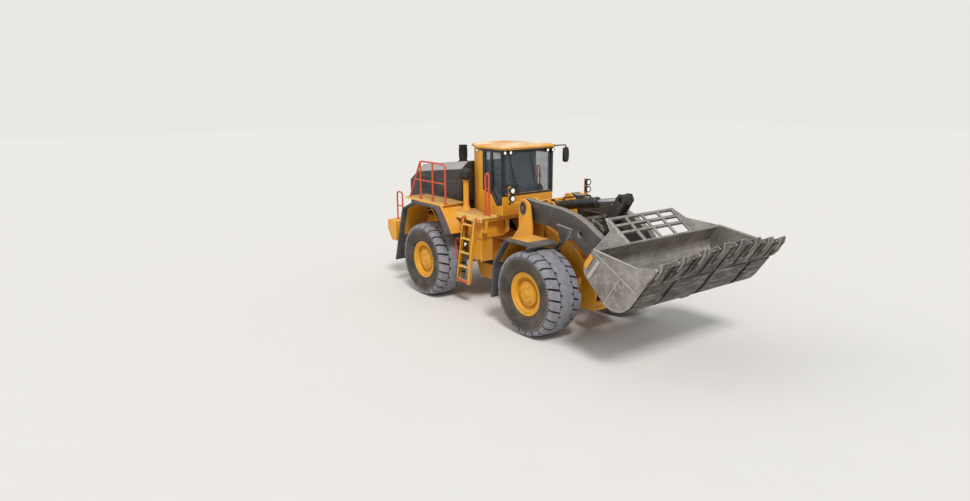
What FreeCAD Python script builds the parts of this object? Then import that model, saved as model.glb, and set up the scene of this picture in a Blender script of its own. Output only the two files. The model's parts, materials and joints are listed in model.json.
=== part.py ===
import FreeCAD, Part
import math
import os
import Sketcher
from FreeCAD import Placement, Rotation, Vector

# An articulated quarry wheel loader, in millimetres. Forward is +X, the driver's left is +Y, up is +Z.
# The parts are drawn from the ground under the steering hinge, half way between the axles, and each
# finished part is then set back by origin_x, so that the origin lies at the middle of the length.
# The bucket is rolled back and carried a little above the ground, as it travels with a load.

doc = FreeCAD.newDocument("WheelLoader")
sheet = doc.addObject("Spreadsheet::Sheet", "Dims")

# Driving dimensions: name, value in millimetres (degrees where the name ends in angle), what it is.
SIZES = (
    ("wheelbase", 4300, "between the axle centres"),
    ("origin_x", 876, "middle of the machine's length, forward of the steering hinge"),
    ("tread", 2684, "between the tyres' middle planes"),
    ("tyre_radius", 1000, "to the tips of the lugs, as it stands under load"),
    ("tyre_width", 890, "over the sidewalls"),
    ("lug_depth", 55, "height of the tread lugs"),
    ("rim_flange_radius", 508, "outside of the rim's flange"),
    ("bead_radius", 430, "where the tyre sits on the rim"),
    ("rim_width", 712, "between the rim's flanges"),
    ("hub_radius", 255, "planetary hub"),
    ("hub_face", 330, "hub's outer face from the wheel's middle plane"),
    ("bowl_radius", 290, "axle's round middle"),
    ("bowl_shift", 60, "axle's round middle, from the axle line towards the steering hinge"),
    ("input_reach", 430, "axle's input, from its middle"),
    ("rail_outer", 440, "half width over the frames' side plates"),
    ("rail_plate", 60, "thickness of the frames' side plates"),
    ("hinge_radius", 150, "rounded end of the steering ears"),
    ("hinge_pin_radius", 70, "steering hinge pins"),
    ("upper_ear", 1600, "height of the upper steering hinge"),
    ("lower_ear", 680, "height of the lower steering hinge"),
    ("ear_thickness", 80, "front frame's steering ears"),
    ("fork_thickness", 60, "rear frame's steering ears"),
    ("ear_gap", 6, "running gap between steering ears"),
    ("running_gap", 0.4, "radial clearance of the pins"),
    ("pivot_x", 1150, "boom pivot, forward of the steering hinge"),
    ("pivot_z", 2760, "boom pivot, above the ground"),
    ("arm_middle", 740, "boom arm's middle plane from the centre line"),
    ("arm_thickness", 170, "boom arm plate"),
    ("arm_boss_radius", 215, "boom arm's end at the tower"),
    ("boom_pin_radius", 75, "pins of the boom and bucket"),
    ("tower_inner", 560, "tower's inner plate, middle plane"),
    ("tower_outer", 910, "tower's outer plate, middle plane"),
    ("tower_plate", 60, "thickness of the tower plates"),
    ("tower_rear_x", 730, "tower's rear edge"),
    ("tower_front_x", 1440, "tower's front edge"),
    ("tower_neck", 240, "how far the tower's rear edge is set forward above its foot"),
    ("tower_top_z", 2985, "tower's top"),
    ("hinge_x", 4550, "bucket hinge, forward"),
    ("hinge_z", 1220, "bucket hinge, above the ground"),
    ("link_pin_x", 4200, "bucket's upper pin, forward"),
    ("link_pin_z", 1500, "bucket's upper pin, above the ground"),
    ("crank_x", 2950, "bell crank pivot, forward"),
    ("crank_z", 2400, "bell crank pivot, above the ground"),
    ("crank_top_x", 3470, "tilt rod's pin, forward"),
    ("crank_top_z", 3140, "tilt rod's pin, above the ground"),
    ("crank_low_x", 3050, "bell crank's lower pin, forward"),
    ("crank_low_z", 1250, "bell crank's lower pin, above the ground"),
    ("tilt_base_x", 1300, "tilt cylinder's base pin, forward"),
    ("tilt_base_z", 2740, "tilt cylinder's base pin, above the ground"),
    ("cross_tube_x", 2620, "boom's cross tube, forward"),
    ("cross_tube_z", 2520, "boom's cross tube, above the ground"),
    ("cross_tube_radius", 150, "boom's cross tube"),
    ("eye_half", 80, "half width of the rod eyes and of the bucket link"),
    ("ear_inner", 90, "inner face of the ears beside an eye"),
    ("ear_plate", 60, "thickness of the ears beside an eye"),
    ("lift_base_x", 1050, "lift cylinder's base pin, forward"),
    ("lift_base_z", 750, "lift cylinder's base pin, above the ground"),
    ("lift_eye_x", 2450, "lift cylinder's rod pin, forward"),
    ("lift_eye_z", 2280, "lift cylinder's rod pin, above the ground"),
    ("notch_radius", 205, "room in the arm round the lift cylinder's eye"),
    ("steer_base_x", -850, "steering cylinder's base pin, forward"),
    ("steer_base_y", 575, "steering cylinder's base pin, from the centre line"),
    ("steer_eye_x", 600, "steering cylinder's rod pin, forward"),
    ("steer_eye_y", 620, "steering cylinder's rod pin, from the centre line"),
    ("steer_z", 1050, "height of the steering cylinders"),
    ("bucket_width", 3980, "over the bucket's side plates"),
    ("bucket_back_angle", 55, "how far the bucket is rolled back"),
    ("bucket_x", 5400, "front of the bucket's heel curve, forward"),
    ("bucket_z", 1450, "front of the bucket's heel curve, above the ground"),
    ("bucket_lip", 1130, "bucket floor's length at the sides"),
    ("bucket_nose", 240, "how far the lip's middle stands out"),
    ("bucket_depth", 380, "heel corner behind the floor's start"),
    ("bucket_height", 1340, "side plate's height at the mouth"),
    ("bucket_heel", 510, "outer radius of the bucket's heel"),
    ("tooth_reach", 150, "how far the teeth stand out of the lip"),
    ("bucket_wall", 40, "floor and back plate"),
    ("bucket_side", 32, "side plate"),
    ("guard_height", 2060, "top bar of the spill guard, above the floor"),
    ("cab_half", 830, "half width of the cab"),
    ("cab_front_x", 220, "cab's front, forward"),
    ("cab_side_rear_x", -760, "where the cab's sides start to narrow"),
    ("cab_rear_x", -1450, "cab's rear wall"),
    ("cab_rear_half", 480, "half width of the cab's rear wall"),
    ("cab_sill_z", 2950, "bottom of the windscreen"),
    ("cab_shoulder_z", 3050, "bottom of the rear side windows"),
    ("cab_top_z", 4050, "underside of the roof"),
    ("cab_wall", 70, "thickness of the cab's walls and pillars"),
    ("roof_height", 100, "roof's thickness"),
    ("roof_overhang", 70, "roof beyond the cab's walls"),
    ("deck_z", 2420, "top of the side platforms"),
    ("deck_plate", 45, "thickness of platforms and walkways"),
    ("deck_half", 1290, "half width over the cab's platforms"),
    ("walkway_z", 2600, "top of the walkways beside the hood"),
    ("walkway_half", 1560, "half width over the walkways"),
    ("hood_half", 850, "half width of the hood"),
    ("hood_front_x", -1520, "hood's front"),
    ("hood_rear_x", -4180, "hood's rear"),
    ("hood_top_z", 3650, "hood's top at the front"),
    ("hood_tail_z", 3280, "hood's top at the rear"),
    ("hood_wall", 40, "thickness of the hood's walls"),
    ("weight_rear_x", -4520, "counterweight's rear"),
    ("hitch_radius", 32, "bore of the towing clevis"),
    ("weight_half", 1500, "half width of the counterweight"),
    ("weight_top_z", 1760, "counterweight's top"),
    ("weight_low_z", 1180, "counterweight's underside"),
    ("fender_half", 1780, "half width over the fenders"),
    ("fender_inner", 910, "fender's inner edge from the centre line"),
    ("fender_skin", 55, "thickness of the fenders"),
    ("handrail_radius", 24, "handrail tube"),
    ("exhaust_radius", 95, "exhaust stack"),
    ("exhaust_x", -2220, "exhaust stack, forward"),
    ("exhaust_y", -300, "exhaust stack, to the left"),
    ("seat_gap", 0.3, "gap between parts that only rest on each other"),
)


class Size:
    """A length that keeps both its value and the sheet expression that gives it."""

    def __init__(self, value, text):
        self.value = float(value)
        self.text = text

    def __add__(self, other):
        other = size(other)
        return Size(self.value + other.value, f"({self.text} + {other.text})")

    def __radd__(self, other):
        return size(other) + self

    def __sub__(self, other):
        other = size(other)
        return Size(self.value - other.value, f"({self.text} - {other.text})")

    def __rsub__(self, other):
        return size(other) - self

    def __mul__(self, factor):
        factor = size(factor)
        return Size(self.value * factor.value, f"({self.text} * {factor.text})")

    def __rmul__(self, factor):
        return size(factor) * self

    def __truediv__(self, divisor):
        return Size(self.value / divisor, f"({self.text} / {divisor})")

    def __neg__(self):
        return Size(-self.value, f"(-1 * {self.text})")

    def __float__(self):
        return self.value


def size(number):
    """A Size as it is, and a plain number as a Size of that value."""
    if isinstance(number, Size):
        return number
    text = f"{float(number):.4f}"
    return Size(number, f"({text})" if number < 0 else text)


class Dims:
    """Gives each driving dimension by its name."""


d = Dims()
for row, (name, value, note) in enumerate(SIZES, start=1):
    sheet.set(f"A{row}", str(value))
    sheet.setAlias(f"A{row}", name)
    sheet.set(f"B{row}", note)
    setattr(d, name, Size(value, f"Dims.{name}"))
doc.recompute()

CAB_FLOOR = d.deck_z + d.seat_gap
PLANES = {
    "XY": (Rotation(), Vector(0, 0, 1), "z"),
    "XZ": (Rotation(Vector(1, 0, 0), 90), Vector(0, 1, 0), "y"),
    "YZ": (Rotation(Vector(0, 1, 0), Vector(0, 0, 1), Vector(1, 0, 0), "ZXY"), Vector(1, 0, 0), "x"),
}
TURNS = {
    "X": Rotation(Vector(0, 1, 0), 90),
    "Y": Rotation(Vector(1, 0, 0), -90),
    "Z": Rotation(),
}
PIECES = {}
PLACED = {}


def bind(obj, path, length):
    """Ties one property of an object to the sheet."""
    obj.setExpression(path, size(length).text)


def place(obj, x=0, y=0, z=0, turn=None):
    """Sets an object's placement, with its position tied to the sheet."""
    x, y, z = size(x), size(y), size(z)
    PLACED[obj.Name] = x
    obj.Placement = Placement(Vector(x.value, y.value, z.value), turn or Rotation())
    bind(obj, "Placement.Base.x", x)
    bind(obj, "Placement.Base.y", y)
    bind(obj, "Placement.Base.z", z)
    return obj


def outline(label, plane, points, level):
    """A closed sketch on a plane at a level, every corner tied to the sheet."""
    turn, _, letter = PLANES[plane]
    sketch = doc.addObject("Sketcher::SketchObject", label)
    corners = [(size(a), size(b)) for a, b in points]
    count = len(corners)
    for i, (a, b) in enumerate(corners):
        a2, b2 = corners[(i + 1) % count]
        line = Part.LineSegment(Vector(a.value, b.value, 0), Vector(a2.value, b2.value, 0))
        sketch.addGeometry(line, False)
    for i in range(count):
        sketch.addConstraint(Sketcher.Constraint("Coincident", i, 2, (i + 1) % count, 1))
    for i, corner in enumerate(corners):
        for kind, length in zip(("DistanceX", "DistanceY"), corner):
            index = sketch.addConstraint(Sketcher.Constraint(kind, -1, 1, i, 1, length.value))
            if "Dims." in length.text:
                bind(sketch, f"Constraints[{index}]", length)
    level = size(level)
    sketch.Placement = Placement(Vector(), turn)
    bind(sketch, f"Placement.Base.{letter}", level)
    return sketch


def slab(label, plane, points, low, high):
    """An outline carried from a low level to a high one, square to its plane."""
    sketch = outline(label + "_outline", plane, points, low)
    body = doc.addObject("Part::Extrusion", label)
    body.Base = sketch
    body.DirMode = "Custom"
    body.Dir = PLANES[plane][1]
    body.Solid = True
    bind(body, "LengthFwd", high - size(low))
    return body


def block(label, x0, x1, y0, y1, z0, z1):
    """A box between two corners."""
    body = doc.addObject("Part::Box", label)
    x0, y0, z0 = size(x0), size(y0), size(z0)
    bind(body, "Length", x1 - x0)
    bind(body, "Width", y1 - y0)
    bind(body, "Height", z1 - z0)
    return place(body, x0, y0, z0)


def flats(radius):
    """How many flats stand for a round surface of this radius, to keep its facets few."""
    radius = float(radius)
    for limit, count in ((30, 6), (62, 8), (140, 12), (270, 16)):
        if radius < limit:
            return count
    return 20


def prism(label, axis, x, y, z, corner, count, length, turned=0.0):
    """A many-sided bar that starts at a point and runs along X, Y or Z."""
    body = doc.addObject("Part::Prism", label)
    body.Polygon = count
    bind(body, "Circumradius", corner)
    bind(body, "Height", length)
    return place(body, x, y, z, TURNS[axis].multiply(Rotation(Vector(0, 0, 1), turned)))


def rod(label, axis, x, y, z, radius, length, turned=0.0):
    """A round bar, its corners on the true radius."""
    return prism(label, axis, x, y, z, size(radius), flats(radius), length, turned)


def bore(label, axis, x, y, z, radius, length, turned=0.0):
    """A round hole's tool. Its flats lie on the true radius and face the corners of the bar inside."""
    count = flats(radius)
    corner = size(radius) * (1 / math.cos(math.pi / count))
    return prism(label, axis, x, y, z, corner, count, length, turned + 180 / count)


def fuse(label, parts):
    """Joins parts into one solid."""
    body = doc.addObject("Part::MultiFuse", label)
    body.Shapes = parts
    body.Refine = True
    return body


def cut(label, base, tools):
    """Takes tools away from a base."""
    tool = tools[0] if len(tools) == 1 else fuse(label + "_tools", tools)
    body = doc.addObject("Part::Cut", label)
    body.Base = base
    body.Tool = tool
    body.Refine = True
    return body


def softened(points, radii, steps=5):
    """An outline whose corners, named by their place in the list, are rounded with a few chords."""
    result = []
    count = len(points)
    for i in range(count):
        if i not in radii:
            result.append(points[i])
            continue
        corner = Vector(float(points[i][0]), float(points[i][1]), 0)
        before = Vector(float(points[i - 1][0]), float(points[i - 1][1]), 0) - corner
        after = Vector(float(points[(i + 1) % count][0]), float(points[(i + 1) % count][1]), 0) - corner
        before.normalize()
        after.normalize()
        half = before.getAngle(after) / 2
        reach = float(radii[i]) / math.tan(half)
        middle = corner + (before + after).normalize() * (float(radii[i]) / math.sin(half))
        start = corner + before * reach - middle
        sweep = math.pi - 2 * half
        if before.cross(after).z > 0:
            sweep = -sweep
        for step in range(steps + 1):
            spot = middle + Rotation(Vector(0, 0, 1), math.degrees(sweep * step / steps)).multVec(start)
            result.append((spot.x, spot.y))
    return result


def piece(node, body):
    """Names a finished part, sets it back to the middle of the machine's length, and keeps it to be written."""
    body.Label = node
    bind(body, "Placement.Base.x", PLACED.get(body.Name, size(0)) - d.origin_x)
    PIECES[node] = body
    return body


SIDES = (("left", 1), ("right", -1))


def across(side, near, far):
    """A range of Y, low first, for the side of the machine that +1 or -1 names."""
    return (size(near), size(far)) if side > 0 else (-size(far), -size(near))


def wheel_places():
    """Each wheel's name, its axle's X and its side."""
    for end, sign in (("front", 1), ("rear", -1)):
        for name, side in SIDES:
            yield f"{end}_{name}", d.wheelbase * (0.5 * sign), side


def ring_points(radius, count, level, start=0.0):
    """Corners of a regular polygon about Y at a level along Y."""
    return [
        Vector(
            radius * math.cos(start + 2 * math.pi * i / count),
            level,
            radius * math.sin(start + 2 * math.pi * i / count),
        )
        for i in range(count)
    ]


def flat_face(points):
    """A flat face through points."""
    return Part.Face(Part.makePolygon(points + [points[0]]))


def band(sections):
    """A solid with flat sides through rings that have the same number of corners."""
    faces = [flat_face(sections[0]), flat_face(sections[-1])]
    count = len(sections[0])
    for low, high in zip(sections, sections[1:]):
        for i in range(count):
            j = (i + 1) % count
            a, b, c, e = low[i], low[j], high[j], high[i]
            normal = (b - a).cross(c - a)
            if abs(normal.normalize().dot(e - a)) < 1e-5:
                faces.append(flat_face([a, b, c, e]))
            else:
                faces.append(flat_face([a, b, c]))
                faces.append(flat_face([a, c, e]))
    solid = Part.Solid(Part.Shell(faces))
    if solid.Volume < 0:
        solid.reverse()
    return solid


# Tyres. The carcass is a stack of polygons, and each tread half a stack of toothed rings.
LUG_COUNT = 20
LUG_SHARE = 0.62


def carcass():
    """The tyre without its lugs: radius and distance from the middle plane, from bead to bead."""
    half = d.tyre_width.value / 2
    root = d.tyre_radius.value - d.lug_depth.value
    seat_radius = (d.rim_flange_radius.value + 10) / math.cos(math.pi / LUG_COUNT)
    rows = (
        (seat_radius, d.rim_width.value / 2),
        (root - 245, half - 4),
        (root - 85, half - 6),
        (root, half - 75),
    )
    sections = [(r, -y) for r, y in rows] + [(r, y) for r, y in reversed(rows)]
    return band([ring_points(r, LUG_COUNT, y) for r, y in sections])


def toothed(level, tip, root, shift):
    """Corners of a ring with a lug and a groove to each pitch."""
    points = []
    pitch = 2 * math.pi / LUG_COUNT
    for i in range(LUG_COUNT):
        middle = (i + shift) * pitch
        reach = pitch * LUG_SHARE / 2
        for radius, angle in ((root, -reach), (tip, -reach * 0.86), (tip, reach * 0.86), (root, reach)):
            a = middle + angle
            points.append(Vector(radius * math.cos(a), level, radius * math.sin(a)))
    return points


def tread(side):
    """The lugs of one half of the tread, from the middle out to the shoulder."""
    half = d.tyre_width.value / 2
    tip = d.tyre_radius.value
    deep = d.lug_depth.value + 16
    rows = (
        (12, tip, tip - deep),
        (half - 80, tip - 12, tip - deep - 6),
        (half - 8, tip - 110, tip - deep - 125),
    )
    shift = 0.25 if side > 0 else -0.25
    ring = band([toothed(y * side, top, low, shift) for y, top, low in rows])
    core = band([ring_points(tip - 225, LUG_COUNT, y * side) for y in (5, half)])
    return ring.cut(core)


def tyre(node, x, side):
    """A block-tread tyre round its rim."""
    body = doc.addObject("Part::Feature", node)
    bore = d.bead_radius.value / math.cos(math.pi / LUG_COUNT)
    hole = band([ring_points(bore, LUG_COUNT, y) for y in (-d.tyre_width.value, d.tyre_width.value)])
    body.Shape = carcass().fuse([tread(1), tread(-1)]).cut(hole).removeSplitter()
    place(body, x, d.tread * (0.5 * side), d.tyre_radius)
    return piece(node, body)


RIM_SIDES = 20


def rim(node, x, side):
    """A dished rim with its planetary hub. Rows give radius and distance outward from the middle plane."""
    outer = d.rim_width.value / 2
    flange = d.rim_flange_radius.value
    barrel = d.bead_radius.value - d.seat_gap.value
    dish = outer - 140
    face = d.hub_face.value
    hub = d.hub_radius.value
    lip = outer + d.seat_gap.value
    rows = (
        (barrel, -outer), (barrel, lip), (flange, lip), (flange, outer + 18), (flange - 36, outer + 18),
        (barrel - 24, outer - 22), (barrel - 36, dish), (hub, dish - 20), (hub - 6, face - 40), (hub - 34, face),
        (hub - 120, face), (hub - 128, face + 14),
    )
    disc = band([ring_points(r, RIM_SIDES, y * side) for r, y in rows])
    well = band([ring_points(barrel - 34, RIM_SIDES, y * side) for y in (-outer - 1, -outer + 190)])
    body = doc.addObject("Part::Feature", node)
    body.Shape = disc.cut(well).removeSplitter()
    place(body, x, d.tread * (0.5 * side), d.tyre_radius)
    return piece(node, body)


def wheels():
    """Four tyres and four rims."""
    for name, x, side in wheel_places():
        tyre(f"tyre_{name}", x, side)
        rim(f"rim_{name}", x, side)


def axle(node, x, inward):
    """An axle housing: a round middle, its input towards the steering hinge, and a drum inside each rim."""
    z = d.tyre_radius
    reach = d.tread / 2 - d.rim_width / 2 + 190 - d.seat_gap
    middle = x + d.bowl_shift * inward
    parts = [rod(node + "_bowl", "Y", middle, -190, z, d.bowl_radius, 380)]
    parts.append(rod(node + "_tube", "Y", x, -reach, z, 165, reach * 2))
    start = middle if inward > 0 else middle - d.input_reach
    parts.append(rod(node + "_input", "X", start, 0, z, 140, d.input_reach))
    for name, side in SIDES:
        low, high = across(side, reach - 330, reach)
        parts.append(rod(f"{node}_brake_{name}", "Y", x, low, z, 260, high - low))
    return piece(node, fuse(node, parts))


def rear_frame():
    """Rear chassis: side plates, cross plates, the fork of the steering hinge and the cab's beams."""
    top = d.upper_ear + d.ear_thickness / 2 + d.ear_gap + d.fork_thickness
    low = d.lower_ear - d.ear_thickness / 2 - d.ear_gap - d.fork_thickness
    front = size(-620)
    rear_axle = d.wheelbase / -2
    side_points = [
        (d.weight_rear_x + 520, 1300), (d.weight_rear_x + 520, 1900), (-1500, 1900), (front, top + 60),
        (front, low - 60), (-1250, low - 60), (rear_axle + 530, 1345), (rear_axle - 530, 1345), (rear_axle - 750, 1300),
    ]
    parts = []
    for name, side in SIDES:
        y0, y1 = across(side, d.rail_outer - d.rail_plate, d.rail_outer)
        parts.append(slab(f"rear_rail_{name}", "XZ", side_points, y0, y1))
    inner = d.rail_outer - d.rail_plate
    parts.append(block("rear_bulkhead", front - 60, front, -inner, inner, low - 60, top + 60))
    parts.append(block("rear_tail", d.weight_rear_x + 520, d.weight_rear_x + 580, -inner, inner, 1300, 1900))
    parts.append(block("rear_saddle", rear_axle - 250, rear_axle + 250, -inner, inner, d.tyre_radius + d.bowl_radius + d.seat_gap, 1460))
    parts.append(block("rear_cross", -1560, -1440, -inner, inner, 1500, 1900))
    for name, middle in (("upper", d.upper_ear), ("lower", d.lower_ear)):
        for place_name, z0 in (
            ("above", middle + d.ear_thickness / 2 + d.ear_gap),
            ("below", middle - d.ear_thickness / 2 - d.ear_gap - d.fork_thickness),
        ):
            label = f"rear_ear_{name}_{place_name}"
            points = [(front - 40, -360), (0, -d.hinge_radius), (0, d.hinge_radius), (front - 40, 360)]
            parts.append(slab(label, "XY", points, z0, z0 + d.fork_thickness))
            parts.append(rod(label + "_end", "Z", 0, 0, z0, d.hinge_radius, d.fork_thickness))
    beam_top = d.deck_z - d.deck_plate - d.seat_gap
    for label, x, reach in (("front", size(-190), 1180), ("rear", size(-1180), 890)):
        parts.append(block(f"cab_beam_{label}", x, x + 120, -reach, reach, beam_top - 110, beam_top))
        for name, side in SIDES:
            y0, y1 = across(side, d.rail_outer - d.rail_plate, d.rail_outer)
            foot = size(1640) if label == "front" else size(1850)
            if label == "front":
                points = [(x, beam_top - 100), (x + 120, beam_top - 100), (x + 120, 1950), (front, foot), (front - 240, foot), (x, 2050)]
                parts.append(slab(f"cab_post_{label}_{name}", "XZ", points, y0, y1))
            else:
                parts.append(block(f"cab_post_{label}_{name}", x, x + 120, y0, y1, foot, beam_top - 100))
    for name, side in SIDES:
        y0, y1 = across(side, d.rail_outer - 10, d.steer_base_y + 90)
        for level, z0 in (("above", d.steer_z + 58), ("below", d.steer_z - 98)):
            label = f"steer_ear_rear_{name}_{level}"
            parts.append(block(label, d.steer_base_x - 90, d.steer_base_x + 65, y0, y1, z0, z0 + 40))
        y = d.steer_base_y * side
        parts.append(rod(f"steer_base_pin_{name}", "Z", d.steer_base_x, y, d.steer_z - 110, 35, 220))
    for name, middle in (("upper", d.upper_ear), ("lower", d.lower_ear)):
        reach = d.ear_thickness / 2 + d.ear_gap + d.fork_thickness
        parts.append(rod(f"hinge_pin_{name}", "Z", 0, 0, middle - reach - 15, d.hinge_pin_radius, reach * 2 + 30))
        parts.append(rod(f"hinge_cap_{name}", "Z", 0, 0, middle + reach - 1, d.hinge_pin_radius + 35, 26))
    return piece("rear_frame", fuse("rear_frame", parts))


def front_frame():
    """Front chassis: side plates, ears of the steering hinge, the boom's towers and the tilt cylinder's beam."""
    front_axle = d.wheelbase / 2
    back = size(650)
    side_points = [
        (back, 560), (front_axle - 650, 480), (front_axle - 450, 1345), (front_axle + 480, 1345),
        (front_axle + 485, 700), (front_axle + 490, 560), (front_axle + 910, 560), (front_axle + 970, 1280),
        (front_axle + 150, 2000), (d.tower_front_x, 2290), (d.tower_front_x - 120, 2420), (back + 60, 2420),
        (back, 1750),
    ]
    inner = d.rail_outer - d.rail_plate
    neck = d.tower_rear_x + d.tower_neck
    parts = []
    for name, side in SIDES:
        y0, y1 = across(side, inner, d.rail_outer)
        parts.append(slab(f"front_rail_{name}", "XZ", side_points, y0, y1))
        tower_points = [
            (d.tower_rear_x, 1800), (d.tower_front_x, 1990), (d.tower_front_x + 10, 2330),
            (d.tower_front_x - 80, d.tower_top_z - 110), (d.tower_rear_x + 430, d.tower_top_z),
            (neck + 60, d.tower_top_z - 20), (neck, d.tower_top_z - 150), (neck, 2250), (d.tower_rear_x, 1990),
        ]
        for label, middle in (("inner", d.tower_inner), ("outer", d.tower_outer)):
            y0, y1 = across(side, middle - d.tower_plate / 2, middle + d.tower_plate / 2)
            slab_name = f"tower_{label}_{name}"
            parts.append(slab(slab_name, "XZ", softened(tower_points, {3: 120, 4: 130, 6: 60, 7: 180}, 2), y0, y1))
        y0, y1 = across(side, d.rail_outer - 10, d.tower_outer)
        parts.append(block(f"tower_back_{name}", neck, neck + 60, y0, y1, 1850, 2520))
        floor_points = [
            (d.tower_rear_x, 1800), (d.tower_front_x - 40, 1980), (d.tower_front_x - 40, 2040), (d.tower_rear_x, 1860),
        ]
        parts.append(slab(f"tower_floor_{name}", "XZ", floor_points, y0, y1))
        y0, y1 = across(side, d.rail_outer - 10, d.tower_inner)
        parts.append(block(f"tower_tie_{name}", neck, d.tower_front_x - 130, y0, y1, 2340, 2400))
    parts.append(block("front_bulkhead", back, back + 60, -inner, inner, 560, 1750))
    parts.append(block("front_saddle", front_axle - 260, front_axle + 260, -inner, inner, d.tyre_radius + d.bowl_radius + d.seat_gap, 1480))
    parts.append(block("front_nose", front_axle + 490, front_axle + 890, -inner, inner, 560, 620))
    beam = d.tower_inner - d.tower_plate / 2
    parts.append(block("tilt_beam", d.tilt_base_x - 330, d.tilt_base_x - 170, -beam - 10, beam + 10, d.tilt_base_z - 150, d.tilt_base_z + 130))
    for name, side in SIDES:
        y0, y1 = across(side, d.ear_inner, d.ear_inner + d.ear_plate)
        points = [
            (d.tilt_base_x - 180, d.tilt_base_z - 150), (d.tilt_base_x - 180, d.tilt_base_z + 130),
            (d.tilt_base_x, d.tilt_base_z + 110), (d.tilt_base_x + 110, d.tilt_base_z), (d.tilt_base_x, d.tilt_base_z - 130),
        ]
        parts.append(slab(f"tilt_ear_{name}", "XZ", points, y0, y1))
        inner_y, outer_y = across(side, d.rail_outer - 10, d.arm_middle - 130)
        lift_points = [
            (d.lift_base_x - 140, d.lift_base_z + 120), (d.lift_base_x + 140, d.lift_base_z + 120),
            (d.lift_base_x + 140, d.lift_base_z - 110), (d.lift_base_x - 140, d.lift_base_z - 110),
        ]
        parts.append(slab(f"lift_box_{name}", "XZ", lift_points, inner_y, outer_y))
        y0, y1 = across(side, d.rail_outer, d.arm_middle + d.eye_half + 15)
        parts.append(rod(f"lift_base_pin_{name}", "Y", d.lift_base_x, y0, d.lift_base_z, 55, y1 - y0))
        y0, y1 = across(side, d.rail_outer - 10, d.steer_eye_y + 90)
        for level, z0 in (("above", d.steer_z + 58), ("below", d.steer_z - 98)):
            label = f"steer_ear_front_{name}_{level}"
            parts.append(block(label, d.steer_eye_x, back + 120, y0, y1, z0, z0 + 40))
            parts.append(rod(label + "_end", "Z", d.steer_eye_x, d.steer_eye_y * side, z0, 65, 40))
    for name, middle in (("upper", d.upper_ear), ("lower", d.lower_ear)):
        z0 = middle - d.ear_thickness / 2
        points = [(0, -d.hinge_radius), (back + 40, -360), (back + 40, 360), (0, d.hinge_radius)]
        parts.append(slab(f"front_ear_{name}", "XY", points, z0, z0 + d.ear_thickness))
        parts.append(rod(f"front_ear_{name}_end", "Z", 0, 0, z0, d.hinge_radius, d.ear_thickness))
    for name, side in SIDES:
        low, high = across(side, d.tower_inner - d.tower_plate / 2 - 12, d.tower_outer + d.tower_plate / 2 + 12)
        parts.append(rod(f"boom_pin_{name}", "Y", d.pivot_x, low, d.pivot_z, d.boom_pin_radius, high - low))
    body = fuse("front_frame_body", parts)
    holes = [bore("front_hinge_bore", "Z", 0, 0, 400, d.hinge_pin_radius + d.running_gap, 1500)]
    lean, _ = slope(d.tilt_base_x, d.tilt_base_z, d.crank_top_x, d.crank_top_z)
    holes.append(bore("tilt_base_bore", "Y", d.tilt_base_x, -200, d.tilt_base_z, 60 + d.running_gap, 400, -lean))
    return piece("front_frame", cut("front_frame", body, holes))


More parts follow.
